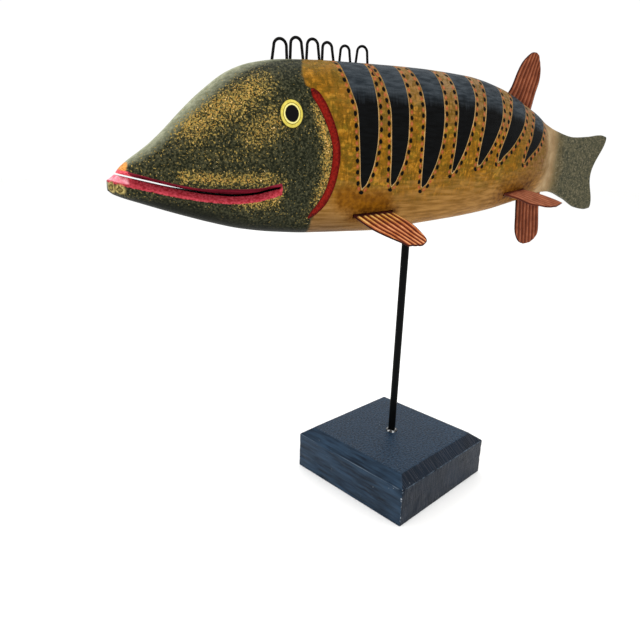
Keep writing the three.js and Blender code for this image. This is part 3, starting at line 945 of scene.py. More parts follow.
# How far round the skin each angle lies, in a table along the fish, and then at each point
table_rows, table_columns = 400, 361
table_shares = np.linspace(first_ring, 1, table_rows)
table_angles = np.linspace(0, np.pi, table_columns)
girth_table = []
for table_share in table_shares:
    across, up = half_section(table_share, table_angles)
    steps = np.hypot(np.diff(across), np.diff(up * section_half_height(table_share)))
    girth_table.append(np.concatenate([[0], np.cumsum(steps)]))
girth_table = np.array(girth_table)
lift = (points[:, 2] - section_middle(share)) / section_half_height(share)
out_share = np.abs(points[:, 1]) / half_width(share)
power = squareness_line(share) / 2
turn = np.arctan2(out_share ** power, np.sign(lift) * np.abs(lift) ** power)
row = np.clip(np.interp(share, table_shares, np.arange(table_rows)), 0, table_rows - 1.001)
column = np.clip(turn / np.pi * (table_columns - 1), 0, table_columns - 1.001)
i, j = row.astype(int), column.astype(int)
a, b = row - i, column - j
girth = (
    girth_table[i, j] * (1 - a) * (1 - b) + girth_table[i + 1, j] * a * (1 - b)
    + girth_table[i, j + 1] * (1 - a) * b + girth_table[i + 1, j + 1] * a * b
)
crown_share = girth / (girth_table[i, -1] * (1 - a) + girth_table[i + 1, -1] * a)
x = points[:, 0]


def nearest_on_path(places, path):
    """For each place, how far the path is and how far along the path its nearest point lies."""
    starts, ends = path[:-1], path[1:]
    steps = ends - starts
    lengths = np.linalg.norm(steps, axis=1)
    runs = np.concatenate([[0], np.cumsum(lengths)])[:-1]
    best_gap = np.full(len(places), 1e9)
    best_run = np.zeros(len(places))
    for start, step, length, run in zip(starts, steps, lengths, runs):
        t = np.clip((places - start) @ step / max(length ** 2, 1e-12), 0, 1)
        gap = np.linalg.norm(places - start - t[:, None] * step, axis=1)
        closer = gap < best_gap
        best_gap[closer] = gap[closer]
        best_run[closer] = run + t[closer] * length
    return best_gap, best_run


# Seven bars over the back. Each has a front and a back edge, given as x at these levels from the
# crown to its tip, and the tip's own distance down from the crown. The rows of dots follow them.
bar_levels = (0, 0.2, 0.35, 0.5, 0.65, 0.8, 0.92, 0.975, 1)
bars = [
    {"tip": 78.0, "front": (-57.5, -57, -54.8, -51.4, -50.4, -49.3, -48.4, -47.6, -46.8),
     "back": (-41.5, -41.5, -40.6, -39.5, -39.2, -40.4, -43, -44.9, -46.8)},
    {"tip": 77.0, "front": (-37, -36, -33.8, -31.7, -31.1, -30.4, -30, -29.4, -28.9),
     "back": (-23.3, -22.6, -21.4, -20.5, -20.5, -21.9, -25, -26.9, -28.9)},
    {"tip": 78.2, "front": (-15, -13.2, -10.9, -9.8, -9.9, -9.8, -9.4, -9, -8.6),
     "back": (0.5, 1.6, 2.6, 2.9, 2.2, -0.2, -3.9, -6.2, -8.6)},
    {"tip": 69.4, "front": (11, 11.6, 12.6, 12.9, 12.3, 11.9, 11.2, 11.1, 10.9),
     "back": (25, 25.6, 26, 24.6, 22, 18.7, 14.9, 12.9, 10.9)},
    {"tip": 63.8, "front": (37.5, 36.4, 35.5, 34.2, 32.8, 31, 30.1, 29.9, 29.6),
     "back": (51.5, 50.4, 49.3, 47.8, 44, 39.4, 34.6, 32.1, 29.6)},
    {"tip": 57.4, "front": (64.5, 62, 59.2, 56.2, 52.9, 49.4, 47.2, 46.8, 46.4),
     "back": (76, 74, 71.2, 67.8, 62.8, 57, 50.8, 48.6, 46.4)},
    {"tip": 48.2, "front": (88, 85.1, 82, 79.3, 77, 73.9, 72.3, 71.9, 71.6),
     "back": (97, 94.1, 91.2, 88.1, 83.8, 78.5, 74.4, 73, 71.6)},
]
dot_row_gap_mm = 1.65
dot_pitch_mm = 5.8
bar_reach_mm = 9
over_crown = 0.08
edge_steps = 34
quarter_turn = np.array([[0, 1], [-1, 0]])
bar_inside = np.full(len(points), -99.0)
dot_run = np.zeros(len(points))
places = np.stack([x, girth], axis=1)
for bar in bars:
    front_edge = smooth_line(list(zip(bar_levels, bar["front"])))
    back_edge = smooth_line(list(zip(bar_levels, bar["back"])))
    down = np.linspace(-over_crown, 1, edge_steps)
    front_path = np.stack([front_edge(down), down * bar["tip"]], axis=1)
    back_path = np.stack([back_edge(down), down * bar["tip"]], axis=1)[::-1]
    outline = np.concatenate([front_path, back_path[1:]])
    close = (x > outline[:, 0].min() - bar_reach_mm) & (x < outline[:, 0].max() + bar_reach_mm)
    close &= girth < bar["tip"] + bar_reach_mm
    gap, _ = nearest_on_path(places[close], outline)
    level = np.clip(girth[close] / bar["tip"], 0, 1)
    within = (x[close] > front_edge(level)) & (x[close] < back_edge(level))
    within &= girth[close] < bar["tip"]
    inside = np.where(within, gap, -gap)
    front_out = unit(np.gradient(front_path, axis=0)) @ quarter_turn
    back_out = unit(np.gradient(back_path, axis=0)) @ quarter_turn
    front_out *= -np.sign(front_out[:, :1])
    back_out *= np.sign(back_out[:, :1])

    # The row of dots rounds the tip in an arc, and one dot sits at its middle.
    first = math.atan2(front_out[-1, 1], front_out[-1, 0])
    last = math.atan2(back_out[0, 1], back_out[0, 0])
    first += 2 * math.pi if first < 0 else 0
    arc = np.linspace(first, last, 9)[1:-1]
    tip = np.array((bar["front"][-1], bar["tip"]))
    arc_path = tip + dot_row_gap_mm * np.stack([np.cos(arc), np.sin(arc)], axis=1)
    dot_path = np.concatenate([
        front_path + dot_row_gap_mm * front_out, arc_path, back_path + dot_row_gap_mm * back_out,
    ])
    _, run = nearest_on_path(places[close], dot_path)
    _, tip_run = nearest_on_path(arc_path[3:4], dot_path)
    closest = inside > bar_inside[close]
    indices = np.flatnonzero(close)[closest]
    bar_inside[indices] = inside[closest]
    dot_run[indices] = ((run - tip_run) / dot_pitch_mm)[closest]

# The head's slate ends in a line down the cheek and along the gill.
head_edge = smooth_line([
    (0, -77), (7, -76), (18.7, -79.3), (25.1, -78.5), (28, -74.7), (38, -68.6), (51.3, -63.8),
    (61.4, -63.2), (73.9, -64.8), (83.3, -68.2), (92.9, -72.8), (97.5, -72.5), (116, -72),
])
head_inside = head_edge(girth) - x

# The gill, the lips and the saw kerf. Their paint runs a fraction of a millimetre past the cuts.
# The gill's dark edges, the upper lip's darker red and the black in the kerf are painted shade.
kerf_shade_half_mm = (0.42, 0.62)
past_corner_mm = 0.8
mirrored = points * np.where(points[:, 1:2] > 0, -1, 1) ** np.array((0, 1, 0))
gill_line = flank_point(gill_centres[:, 0], gill_centres[:, 1], -1)
gill_gap, gill_run = nearest_on_path(mirrored, gill_line)
gill_length = np.linalg.norm(np.diff(gill_line, axis=0), axis=1).sum()
gill_half = np.interp(gill_run / gill_length, gill_runs, gill_swell) * gill_width_mm / 2
gill_inside = gill_half - gill_gap
mouth_rise = points[:, 2] - level_to_z(mouth_line(share))
before_corner = (mouth_end - share) * fish_length_mm
upper_lip = np.minimum(upper_lip_line(share) * lip_height_mm + 0.35 - mouth_rise, mouth_rise + 0.2)
upper_lip = np.minimum(upper_lip, before_corner + past_corner_mm)
lower_lip = np.minimum(mouth_rise + lower_lip_line(share) * lip_height_mm + 0.1, 0.2 - mouth_rise)
lower_lip = np.minimum(lower_lip, before_corner + past_corner_mm)
# The kerf is painted black inside as painted shade, a little wider where it closes up.
kerf_half = np.interp(share, kerf_closes, kerf_shade_half_mm)
kerf_shade_inside = np.minimum(kerf_half - np.abs(mouth_rise), before_corner)

# The specks are thickest over the forehead, above the mouth and by the gill. Each band is a path
# in x and z, how far its specks spread from it and how thick they lie.
least_specks = 0.26
cleared_share = 0.85
speck_bands = [
    (((-97.4, 245.9), (-113.3, 234.1), (-134, 221.8)), 11.5, 0.83),
    (((-92.8, 226.2), (-105, 219)), 11, 0.75),
    (((-138, 199), (-117, 198), (-87.5, 199)), 4.6, 0.84),
    (((-74.3, 233.5), (-68, 215.7), (-68.3, 198.7), (-78, 178)), 4.5, 0.95),
    (((-111.7, 187.4), (-94.1, 186.5), (-90.8, 194.5)), 5, 1.05),
    (((-104, 212), (-126, 209)), 7, 0.4),
]
plain_places = (
    (((-85, 210), (-82, 188)), 9), (((-79.5, 208), (-81, 218)), 4), (((-84, 236), (-88, 250)), 8),
)
speck_share = np.full(len(points), least_specks)
side_places = points[:, ::2]
for band, spread, strength in speck_bands:
    gap, _ = nearest_on_path(side_places, np.array(band))
    speck_share = np.maximum(speck_share, strength * np.exp(-(gap / spread) ** 2))
for place, spread in plain_places:
    gap, _ = nearest_on_path(side_places, np.array(place))
    speck_share *= 1 - cleared_share * np.exp(-(gap / spread) ** 2)

# They thin out under the jaw and along the ridge.
jaw_share = np.clip((crown_share - 0.72) / 0.15, 0, 1)
ridge_share = np.clip((crown_share - 0.05) / 0.13, 0.3, 1)
speck_share *= (1 - 0.75 * jaw_share) * ridge_share

# The rings by the jaw's tip, and the gold and pink dabs on the tips of the snout and the jaw,
# which are partly paint and partly a painted highlight
snout_tip = (-167.5, -3.0, 199.5)
snout_tip_reach_mm = 7.6
jaw_tip_x_mm = -162.5
ring_centres = ((-170.2, -5.5, 193.6), (-166.8, -9.8, 192.6))
ring_gap = np.min([np.linalg.norm(mirrored - centre, axis=1) for centre in ring_centres], axis=0)
tip_gap = np.linalg.norm(mirrored - snout_tip, axis=1)
upper_tip = np.minimum(snout_tip_reach_mm - tip_gap, mouth_rise)
upper_tip_lip = np.minimum(upper_tip + 1.2, 2.4 - mouth_rise)
lower_tip = np.minimum((jaw_tip_x_mm - x) / 2, np.minimum(-mouth_rise, 3.4 + mouth_rise))

# The snout and forehead carry a pale grey coat along the ridge, widest between the eyes: partly
# paler paint, partly a painted sheen.
ridge_sheen_width_mm = np.interp(
    x, (-165, -150, -135, -122, -108, -93, -80), (9, 13, 15, 15, 13, 10, 8),
)
ridge_sheen = np.clip(1 - girth / ridge_sheen_width_mm, 0, 1)

# The jaw's underside is painted darker as painted shade, and towards the chin the dark reaches
# higher.
jaw_shade_place = crown_share + np.interp(x, (-150, -105), (0.11, 0))

# A darker amber patch lies just above the breast fins.
amber_gap, _ = nearest_on_path(side_places, np.array(((-56, 189), (-46, 187), (-33, 186))))

# The painted shade at the side fins' roots spreads further round the rear pair.
fin_shade_spread = {"pectoral_fin": 1, "pelvic_fin": 2.4}
fin_gap = np.full(len(points), 99.0)
for fin_name, root in side_fin_roots.items():
    ends = np.array([flank_point(along, level_to_z(level), -1) for along, level in root])
    gap, _ = nearest_on_path(mirrored, ends)
    fin_gap = np.minimum(fin_gap, gap / fin_shade_spread[fin_name])

tail_paint_x_mm = 108.0
skin_places = {
    "crown_share": crown_share, "bar_inside": bar_inside, "dot_run": dot_run,
    "head_inside": head_inside, "gill_inside": gill_inside, "upper_lip": upper_lip,
    "lower_lip": lower_lip, "kerf_shade_inside": kerf_shade_inside, "speck_share": speck_share,
    "ring_gap": ring_gap, "upper_tip": upper_tip, "upper_tip_lip": upper_tip_lip,
    "lower_tip": lower_tip, "fin_gap": fin_gap, "tail_run": x - tail_paint_x_mm,
    "ridge_sheen": ridge_sheen, "amber_gap": amber_gap, "jaw_shade_place": jaw_shade_place,
}
keep_on_points(fish, skin_places)

# Oil paint on softwood under varnish: brushed colours with soft ragged edges, bristle lines that
# catch the light, and a satin gloss. Each mark has its size in millimetres along X, Y and Z, and
# its detail. Bristle lines are really finer, and are drawn 1.2 mm apart, so that they show.
oil_paint, oil_shader = new_material("varnished oil paint on softwood")
fish_place = add_node(oil_paint, "ShaderNodeTexCoord", {}).outputs["Object"]
brush_marks = {
    "round_strokes": ((1.22, 16.67, 16.67), 4),
    "long_strokes": ((18.2, 1.667, 1.667), 4),
    "mottle": ((11.1, 11.1, 11.1), 3),
    "stipple": ((2.381, 2.381, 2.381), 3),
    "fine": ((0.909, 0.909, 0.909), 3),
    "sponge": ((1.111, 1.111, 1.111), 4),
    "speckle": ((0.926, 0.926, 0.926), 4),
    "glint": ((0.78125, 0.78125, 0.78125), 3),
    "upright_strokes": ((1.613, 2.5, 6.67), 3),
    "level_strokes": ((7.14, 2.5, 1.613), 3),
    "patches": ((7.69, 7.69, 5.88), 4),
}
marks = {}
for name, (sizes_mm, detail) in brush_marks.items():
    stretched = add_node(
        oil_paint, "ShaderNodeMapping",
        {"Vector": fish_place, "Scale": [1 / (size * MM) for size in sizes_mm]},
    ).outputs[0]
    marks[name] = add_node(
        oil_paint, "ShaderNodeTexNoise", {"Vector": stretched, "Scale": 1, "Detail": detail},
    ).outputs[0]

# Where each colour goes: the place that it is measured by, the value at its edge, the mark that
# makes the edge ragged, how ragged, and how soft. It lies past that value, or short of it where
# the softness is below zero.
paint_edges = {
    "back": ("crown_share", 0.30, "mottle", 0.14, -0.13),
    "aft": ("tail_run", -32, "mottle", 8.0, 14.0),
    "tailward": ("tail_run", -142, "mottle", 15.0, 38.0),
    "fin_root_shade": ("fin_gap", 3.4, "stipple", 2.2, -2.6),
    "belly": ("crown_share", 0.69, "long_strokes", 0.10, 0.08),
    "nape": ("crown_share", 0.12, "mottle", 0.06, -0.1),
    "neck": ("tail_run", -166, "mottle", 6.0, -14.0),
    # underside and breast bound a painted shade under the throat and breast
    "underside": ("crown_share", 0.81, "long_strokes", 0.05, 0.06),
    "breast": ("tail_run", -145, "mottle", 12.0, -25.0),
    "amber": ("amber_gap", 6.5, "stipple", 3.0, -3.0),
    # shoulder and off_crown bound the painted sheen on the bars' upper parts
    "shoulder": ("crown_share", 0.265, "round_strokes", 0.03, -0.035),
    "off_crown": ("crown_share", 0.045, "round_strokes", 0.03, 0.045),
    "outline": ("bar_inside", -0.3, "stipple", 0.38, 0.2),
    "bars": ("bar_inside", 0.0, "fine", 0.22, 0.14),
    "head": ("head_inside", 0.0, "stipple", 1.5, 0.7),
    # ridge: where the pale paint and painted sheen along the head's ridge lie
    "ridge": ("ridge_sheen", 0.4, "sponge", 0.2, 0.42),
    "jaw": ("jaw_shade_place", 0.875, "mottle", 0.04, 0.05),
    "gill": ("gill_inside", -0.25, "fine", 0.2, 0.15),
    "gill_core": ("gill_inside", 0.1, "fine", 0.3, 0.25),
    "upper_lip": ("upper_lip", 0.0, "fine", 0.2, 0.12),
    "lower_lip": ("lower_lip", 0.0, "sponge", 0.5, 0.15),
    "kerf": ("kerf_shade_inside", 0.0, "fine", 0.05, 0.08),
    "upper_tip": ("upper_tip", 0.0, "fine", 0.5, 0.5),
    "upper_tip_lip": ("upper_tip_lip", 0.0, "fine", 0.3, 0.3),
    "lower_tip": ("lower_tip", 0.0, "fine", 0.3, 0.3),
    "tail_band": ("tail_run", -8.5, "mottle", 3.5, 6.0),
    "tail": ("tail_run", 4.0, "stipple", 3.0, 3.0),
    "tail_far": ("tail_run", 9.5, "mottle", 4.0, 5.0),
}
held = {
    name: add_node(oil_paint, "ShaderNodeAttribute", {}, attribute_name=name).outputs["Fac"]
    for name in skin_places
}
covers = {}
for name, (place_name, edge, mark, ragged, soft) in paint_edges.items():
    covers[name] = ragged_cover(
        oil_paint, held[place_name], marks[mark], 2 * ragged,
        edge + ragged - soft, edge + ragged + soft,
    )

# The ochre was scumbled: olive patches first, then upright and level strokes across each other, and
# brighter gold dabbed over them.
for name, mark, low, high, strongest in (
    ("olive_patches", "patches", 0.48, 0.60, 0.75),
    ("upright", "upright_strokes", 0.50, 0.61, 0.75),
    ("level", "level_strokes", 0.50, 0.61, 0.7),
    ("gold", "stipple", 0.49, 0.62, 0.6),
):
    covers[name] = add_node(
        oil_paint, "ShaderNodeMapRange",
        {"Value": marks[mark], "From Min": low, "From Max": high, "To Max": strongest},
    ).outputs[0]

# Dots in rows round the bars: black ones at each pitch, and soft red dabs half-way between them
dot_across = add_node(
    oil_paint, "ShaderNodeMath", {0: held["bar_inside"], 1: dot_row_gap_mm}, operation="ADD",
).outputs[0]
for name, offset, half_across, half_along, full, strongest in (
    ("black_dots", 0.0, 1.0, 1.34, 1.2, 1.0), ("red_dabs", 0.5, 0.95, 1.3, 0.7, 0.85),
):
    shifted = add_node(
        oil_paint, "ShaderNodeMath", {0: held["dot_run"], 1: offset}, operation="ADD",
    ).outputs[0]
    from_centre = add_node(
        oil_paint, "ShaderNodeMath", {0: shifted, 1: 0.5}, operation="PINGPONG",
    ).outputs[0]
    run_part = add_node(
        oil_paint, "ShaderNodeMath", {0: from_centre, 1: dot_pitch_mm / half_along},
        operation="MULTIPLY",
    ).outputs[0]
    across_part = add_node(
        oil_paint, "ShaderNodeMath", {0: dot_across, 1: 1 / half_across}, operation="MULTIPLY",
    ).outputs[0]
    flat_place = add_node(
        oil_paint, "ShaderNodeCombineXYZ", {"X": run_part, "Y": across_part},
    ).outputs[0]
    dot_size = add_node(
        oil_paint, "ShaderNodeVectorMath", {0: flat_place}, operation="LENGTH",
    ).outputs["Value"]
    covers[name] = ragged_cover(oil_paint, dot_size, marks["fine"], 0.7, 1.5, full, strongest)

# Specks of ochre sponged over the slate, on a thin glaze. Here the mark makes the specks, and the
# place says how thick they lie.
for name, mark, weight, low, high in (
    ("glaze", "sponge", 0.38, 0.56, 1.1), ("specks", "speckle", 0.22, 0.675, 0.71),
    ("gold_specks", "glint", 0.34, 0.835, 0.875), ("light_specks", "glint", 0.11, 0.75, 0.78),
):
    covers[name] = ragged_cover(oil_paint, marks[mark], held["speck_share"], weight, low, high)
covers["tail_marks"] = add_node(
    oil_paint, "ShaderNodeMapRange",
    {"Value": marks["sponge"], "From Min": 0.5, "From Max": 0.66, "To Max": 0.6},
).outputs[0]
for name, place_name, start, full, least in (
    ("low_down", "crown_share", 0.12, 0.34, 0.14), ("forward", "tail_run", -24, -70, 0.1),
):
    covers[name] = add_node(
        oil_paint, "ShaderNodeMapRange",
        {"Value": held[place_name], "From Min": start, "From Max": full, "To Min": least},
    ).outputs[0]
for name, start, full in (
    ("ring_patch", 4.0, 3.0), ("rings", 2.7, 2.2), ("ring_hearts", 1.9, 1.5),
):
    covers[name] = ragged_cover(oil_paint, held["ring_gap"], marks["sponge"], 1.6, start, full)

# Colours that lie only where two of these places meet
pairs = {
    "outline_fading": ("low_down", "forward"), "low_outline": ("outline", "outline_fading"),
    "back": ("back", "tailward"), "shoulder": ("shoulder", "off_crown"),
    "bar_shoulder_sheen": ("bars", "shoulder"), "nape": ("nape", "neck"),
    "breast": ("breast", "underside"), "jaw": ("head", "jaw"), "head_glaze": ("head", "glaze"),
    "head_specks": ("head", "specks"), "head_gold": ("head", "gold_specks"),
    "head_light": ("head", "light_specks"), "head_ridge_sheen": ("head", "ridge"),
    "tail_specks": ("tail", "tail_marks"),
}
for name, (first, second) in pairs.items():
    covers[name] = add_node(
        oil_paint, "ShaderNodeMath", {0: covers[first], 1: covers[second]}, operation="MULTIPLY",
    ).outputs[0]

# The coats in the order they are laid on, paint, painted sheen and painted shade alike: cover,
# darker colour, lighter colour, brush mark
coats = [
    ("olive_patches", "#4e430c", "#6c5a14", "mottle"),
    ("gold", "#9c6a1a", "#c4892c", "mottle"),
    ("back", "#665034", "#987a56", "level_strokes"),
    ("nape", "#54400e", "#7a5e1c", "upright_strokes"),
    ("aft", "#68482a", "#8f6b3e", "upright_strokes"),
    ("upright", "#4c3808", "#66490a", "fine"),
    ("level", "#4c3808", "#6a4c0c", "fine"),
    ("belly", "#75501f", "#9a7038", "long_strokes"),
    # Darker brown under the throat and breast: painted shade
    ("breast", "#563e24", "#785a38", "long_strokes"),
    ("amber", "#643c05", "#82520c", "stipple"),
    # Painted shade round the side fins' roots
    ("fin_root_shade", "#4a2a08", "#74480f", "stipple"),
    ("red_dabs", "#943e22", "#b06040", "fine"),
    ("low_outline", "#a88250", "#ceac78", "fine"),
    ("bars", "#030303", "#08090a", "level_strokes"),
    # A painted sheen over the black on the bars' shoulders
    ("bar_shoulder_sheen", "#1f252a", "#383e43", "level_strokes"),
    ("black_dots", "#030202", "#060504", "fine"),
    ("head", "#15180e", "#292a1a", "sponge"),
    ("head_glaze", "#322e12", "#4a4016", "sponge"),
    # Pale paint and painted sheen along the head's ridge
    ("head_ridge_sheen", "#7c7f66", "#9c9e84", "stipple"),
    ("head_specks", "#62542a", "#a28a48", "fine"),
    ("head_gold", "#886422", "#be9042", "fine"),
    ("head_light", "#c0a46a", "#e4d09c", "fine"),
    # Near-black under the jaw: painted shade
    ("jaw", "#0c0e08", "#1a1c12", "sponge"),
    ("tail_band", "#876e4c", "#ac936e", "mottle"),
    ("tail", "#544930", "#6c5e40", "stipple"),
    ("tail_far", "#34362a", "#4f4c39", "stipple"),
    ("tail_specks", "#665e48", "#887e66", "fine"),
    # Dark edges along the gill's gouge: painted shade round its crimson core
    ("gill", "#2c0608", "#4a0a10", "fine"),
    ("gill_core", "#68100a", "#8c1c12", "sponge"),
    # The upper lip's red is painted darker than the lower lip's, as painted shade on the face that
    # looks down
    ("upper_lip", "#4c0f1a", "#781c2c", "long_strokes"),
    ("lower_lip", "#8c2028", "#bc4450", "sponge"),
    # The tips of the snout and the jaw: paint and a painted highlight
    ("upper_tip", "#b46c2c", "#e0a050", "sponge"),
    ("upper_tip_lip", "#c03844", "#e0606c", "fine"),
    ("lower_tip", "#cc5c70", "#eaa6b0", "stipple"),
    ("ring_patch", "#6e5f32", "#bca868", "sponge"),
    ("rings", "#302a14", "#5a4e28", "fine"),
    ("ring_hearts", "#74663a", "#a49050", "fine"),
    # Black in the kerf: painted shade
    ("kerf", "#020202", "#050404", "fine"),
]
coat = add_node(
    oil_paint, "ShaderNodeMix",
    {0: marks["round_strokes"], 6: paint("#6b470b"), 7: paint("#916112")}, data_type="RGBA",
).outputs[2]
for cover, darker, lighter, mark in coats:
    tone = add_node(
        oil_paint, "ShaderNodeMapRange",
        {"Value": marks[mark], "From Min": 0.36, "From Max": 0.64},
    ).outputs[0]
    coat = brush_on(oil_paint, coat, covers[cover], tone, darker, lighter)
bristles = add_node(
    oil_paint, "ShaderNodeMath", {0: marks["round_strokes"], 1: marks["fine"]}, operation="ADD",
).outputs[0]
oil_bump = add_node(
    oil_paint, "ShaderNodeBump", {"Height": bristles, "Strength": 0.22, "Distance": 0.0006},
).outputs[0]
fill_sockets(oil_paint, oil_shader, {
    "Base Color": coat, "Roughness": 0.5, "Normal": oil_bump, "Specular IOR Level": 0.02,
    "Coat Weight": 0.05, "Coat Roughness": 0.2,
})
fish.data.materials.clear()
fish.data.materials.append(oil_paint)
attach(fish, "root")
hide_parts("fish_body")

# The fins: thin blades of softwood with seven gouged flutes, each glued by its tongue into a slot.
# An outline's front and rear edges run out from the root, in shares of the root's length and of
# the fin's reach.
fin_edge_mm = 0.9
fin_flute_mm = 0.45
fin_tip_thinning = 0.35
fin_rim_round_mm = 0.55
fin_ribs = 7
rib_steps = 12
rib_roundness = 0.75
edge_ramp_ribs = 0.6
blade_rows = 46
tongue_rows = 5
straight_from = 0.66
fin_outlines = {
    "pectoral": {
        "reach": 30,
        "front": [(0, 0), (.2, .37), (.4, .6), (.65, .83), (.76, .95)],
        "rear": [(1, 0), (1.26, .4), (1.33, .75), (1.3, .9), (1.14, 1)],
    },
    "pelvic": {
        "reach": 21,
        "front": [(0, 0), (.32, .3), (.52, .62), (.85, .8), (1.15, .95), (1.55, 1)],
        "rear": [(1, 0), (1.4, .25), (1.75, .62), (1.95, .93)],
    },
    "dorsal": {
        "reach": 30,
        "front": [(0, 0), (.04, .16), (.04, .47), (.09, .7), (.25, .92), (.4, .99)],
        "rear": [(1, 0), (.94, .29), (.9, .56), (.77, .78), (.52, .98)],
    },
    "anal": {
        "reach": 33,
        "front": [(0, 0), (-.03, .35), (-.05, .68), (.08, .9), (.3, .995)],
        "rear": [(1, 0), (.95, .3), (.94, .78), (.8, .93), (.56, 1)],
    },
}


def carve_fin(name, fin, frame_matrix, root_length):
    """The blade with its rounded ribs, thin edges and tip, and the plain tongue behind it. The ribs
    follow the edges at first and run straight on through the tip."""
    reaches = np.concatenate([np.zeros(tongue_rows), np.linspace(0, 1, blade_rows)])
    tongues = np.concatenate([
        np.linspace(-fin_tongue_mm, -0.4, tongue_rows), np.zeros(blade_rows),
    ])
    front = smooth_path(fin["front"], reaches)
    rear = smooth_path(fin["rear"], reaches)
    across = np.linspace(0, 1, fin_ribs * rib_steps + 1)
    size = np.array((root_length, fin["reach"]))
    blade = (front[:, None] * (1 - across[:, None]) + rear[:, None] * across[:, None]) * size
    blade[:, :, 1] += tongues[:, None]
    widths = np.linalg.norm((rear - front) * size, axis=1)
    from_edge = np.minimum(across, 1 - across) * widths[:, None]
    from_tip = (1 - reaches)[:, None] * fin["reach"]

    # The lines that the outermost ribs follow
    straight_mm = straight_from * fin["reach"]
    front_line, rear_line = (
        np.where(
            blade[:, :, 1] < straight_mm,
            np.interp(blade[:, :, 1], edge[:, 1] * fin["reach"], edge[:, 0]),
            start + (np.interp(straight_from, edge[:, 1], edge[:, 0]) - start)
            * blade[:, :, 1] / straight_mm,
        ) * root_length
        for edge, start in ((front, 0), (rear, 1))
    )
    rib_count = (blade[:, :, 0] - front_line) / (rear_line - front_line) * fin_ribs
    ribs = np.sin(np.pi * (rib_count % 1)) ** rib_roundness
    rib_thickness = fin_thickness_mm - 2 * fin_flute_mm * (1 - ribs)
    edge_ramp = np.clip(np.minimum(across, 1 - across) * fin_ribs / edge_ramp_ribs, 0, 1)
    thickness = fin_edge_mm + (rib_thickness - fin_edge_mm) * edge_ramp
    thickness = thickness * (1 - fin_tip_thinning * reaches[:, None])
    nearest = np.clip(np.minimum(from_edge, from_tip) / fin_rim_round_mm, 0, 1)
    half = thickness / 2 * np.sqrt(1 - (1 - nearest) ** 2)
    upper = np.concatenate([blade, half[:, :, None]], axis=2)
    lower = upper[:, -2:0:-1] * (1, 1, -1)
    rings = placed(np.concatenate([upper, lower], axis=1), frame_matrix)
    rings = np.concatenate([closed_at_ends(rings[:1])[:1], rings])

    # Where the paint's ribs, root and rim lie, for both faces and the row that closes the tongue
    paint_places = {
        "rib_place": rib_count,
        "reach_place": np.repeat(reaches[:, None], len(across), axis=1),
        "edge_place": np.minimum(from_edge, from_tip),
    }
    for key, values in paint_places.items():
        both = np.concatenate([values, values[:, -2:0:-1]], axis=1)
        paint_places[key] = np.concatenate([both[:1], both])
    return wrap_sheet(name, rings, paint_places)


# Oil paint on thin softwood: copper-brown ribs between dark grooves, with a painted highlight along
# each rib's top and a dark line round the edge and along the root. The side fins' ribs start out
# golden. The brush marks are drawn 1.4 mm apart, coarser than real ones, so that they show.
def fin_finish(name, tones, root_end, groove_half, foot_share):
    """Its tones are pairs, darker and lighter. The root's are for its ribs and the painted
    highlights on their tops.
    """
    made, shader = new_material(name)
    fin_place = add_node(made, "ShaderNodeTexCoord", {}).outputs["Object"]
    fin_marks = {}
    for mark, size_mm in (("grain", 1.429), ("patches", 6.25)):
        fin_marks[mark] = add_node(
            made, "ShaderNodeTexNoise",
            {"Vector": fin_place, "Scale": 1 / (size_mm * MM), "Detail": 3},
        ).outputs[0]
    held = {
        key: add_node(made, "ShaderNodeAttribute", {}, attribute_name=key).outputs["Fac"]
        for key in ("rib_place", "reach_place", "edge_place")
    }
    from_groove = add_node(
        made, "ShaderNodeMath", {0: held["rib_place"], 1: 0.5}, operation="PINGPONG",
    ).outputs[0]
    fin_covers = {}
    for key, source, stray, start, full in (
        # The first cover is a painted highlight along each rib's top
        ("crest_highlights", from_groove, 0.08, 0.36, 0.46),
        ("root", held["reach_place"], 0.22, root_end + 0.11, root_end - 0.1),
        ("grooves", from_groove, 0.08, groove_half + 0.07, groove_half + 0.01),
        ("edges", held["edge_place"], 0.5, 1.0, 0.65),
        ("foot", held["reach_place"], 0.03, foot_share + 0.03, foot_share),
    ):
        fin_covers[key] = ragged_cover(made, source, fin_marks["grain"], stray, start, full)
    fin_covers["root_crest_highlights"] = add_node(
        made, "ShaderNodeMath", {0: fin_covers["root"], 1: fin_covers["crest_highlights"]},
        operation="MULTIPLY",
    ).outputs[0]
    tone = add_node(
        made, "ShaderNodeMapRange",
        {"Value": fin_marks["patches"], "From Min": 0.35, "From Max": 0.65},
    ).outputs[0]
    coat = add_node(
        made, "ShaderNodeMix",
        {0: tone, 6: paint(tones["ribs"][0]), 7: paint(tones["ribs"][1])}, data_type="RGBA",
    ).outputs[2]
    for key in ("crest_highlights", "root", "root_crest_highlights", "grooves", "edges", "foot"):
        coat = brush_on(
            made, coat, fin_covers[key], tone, *tones["edges" if key == "foot" else key],
        )
    bump = add_node(
        made, "ShaderNodeBump", {"Height": fin_marks["grain"], "Strength": 0.2, "Distance": 0.0004},
    ).outputs[0]
    fill_sockets(made, shader, {
        "Base Color": coat, "Roughness": 0.5, "Normal": bump, "Specular IOR Level": 0.06,
    })
    return made


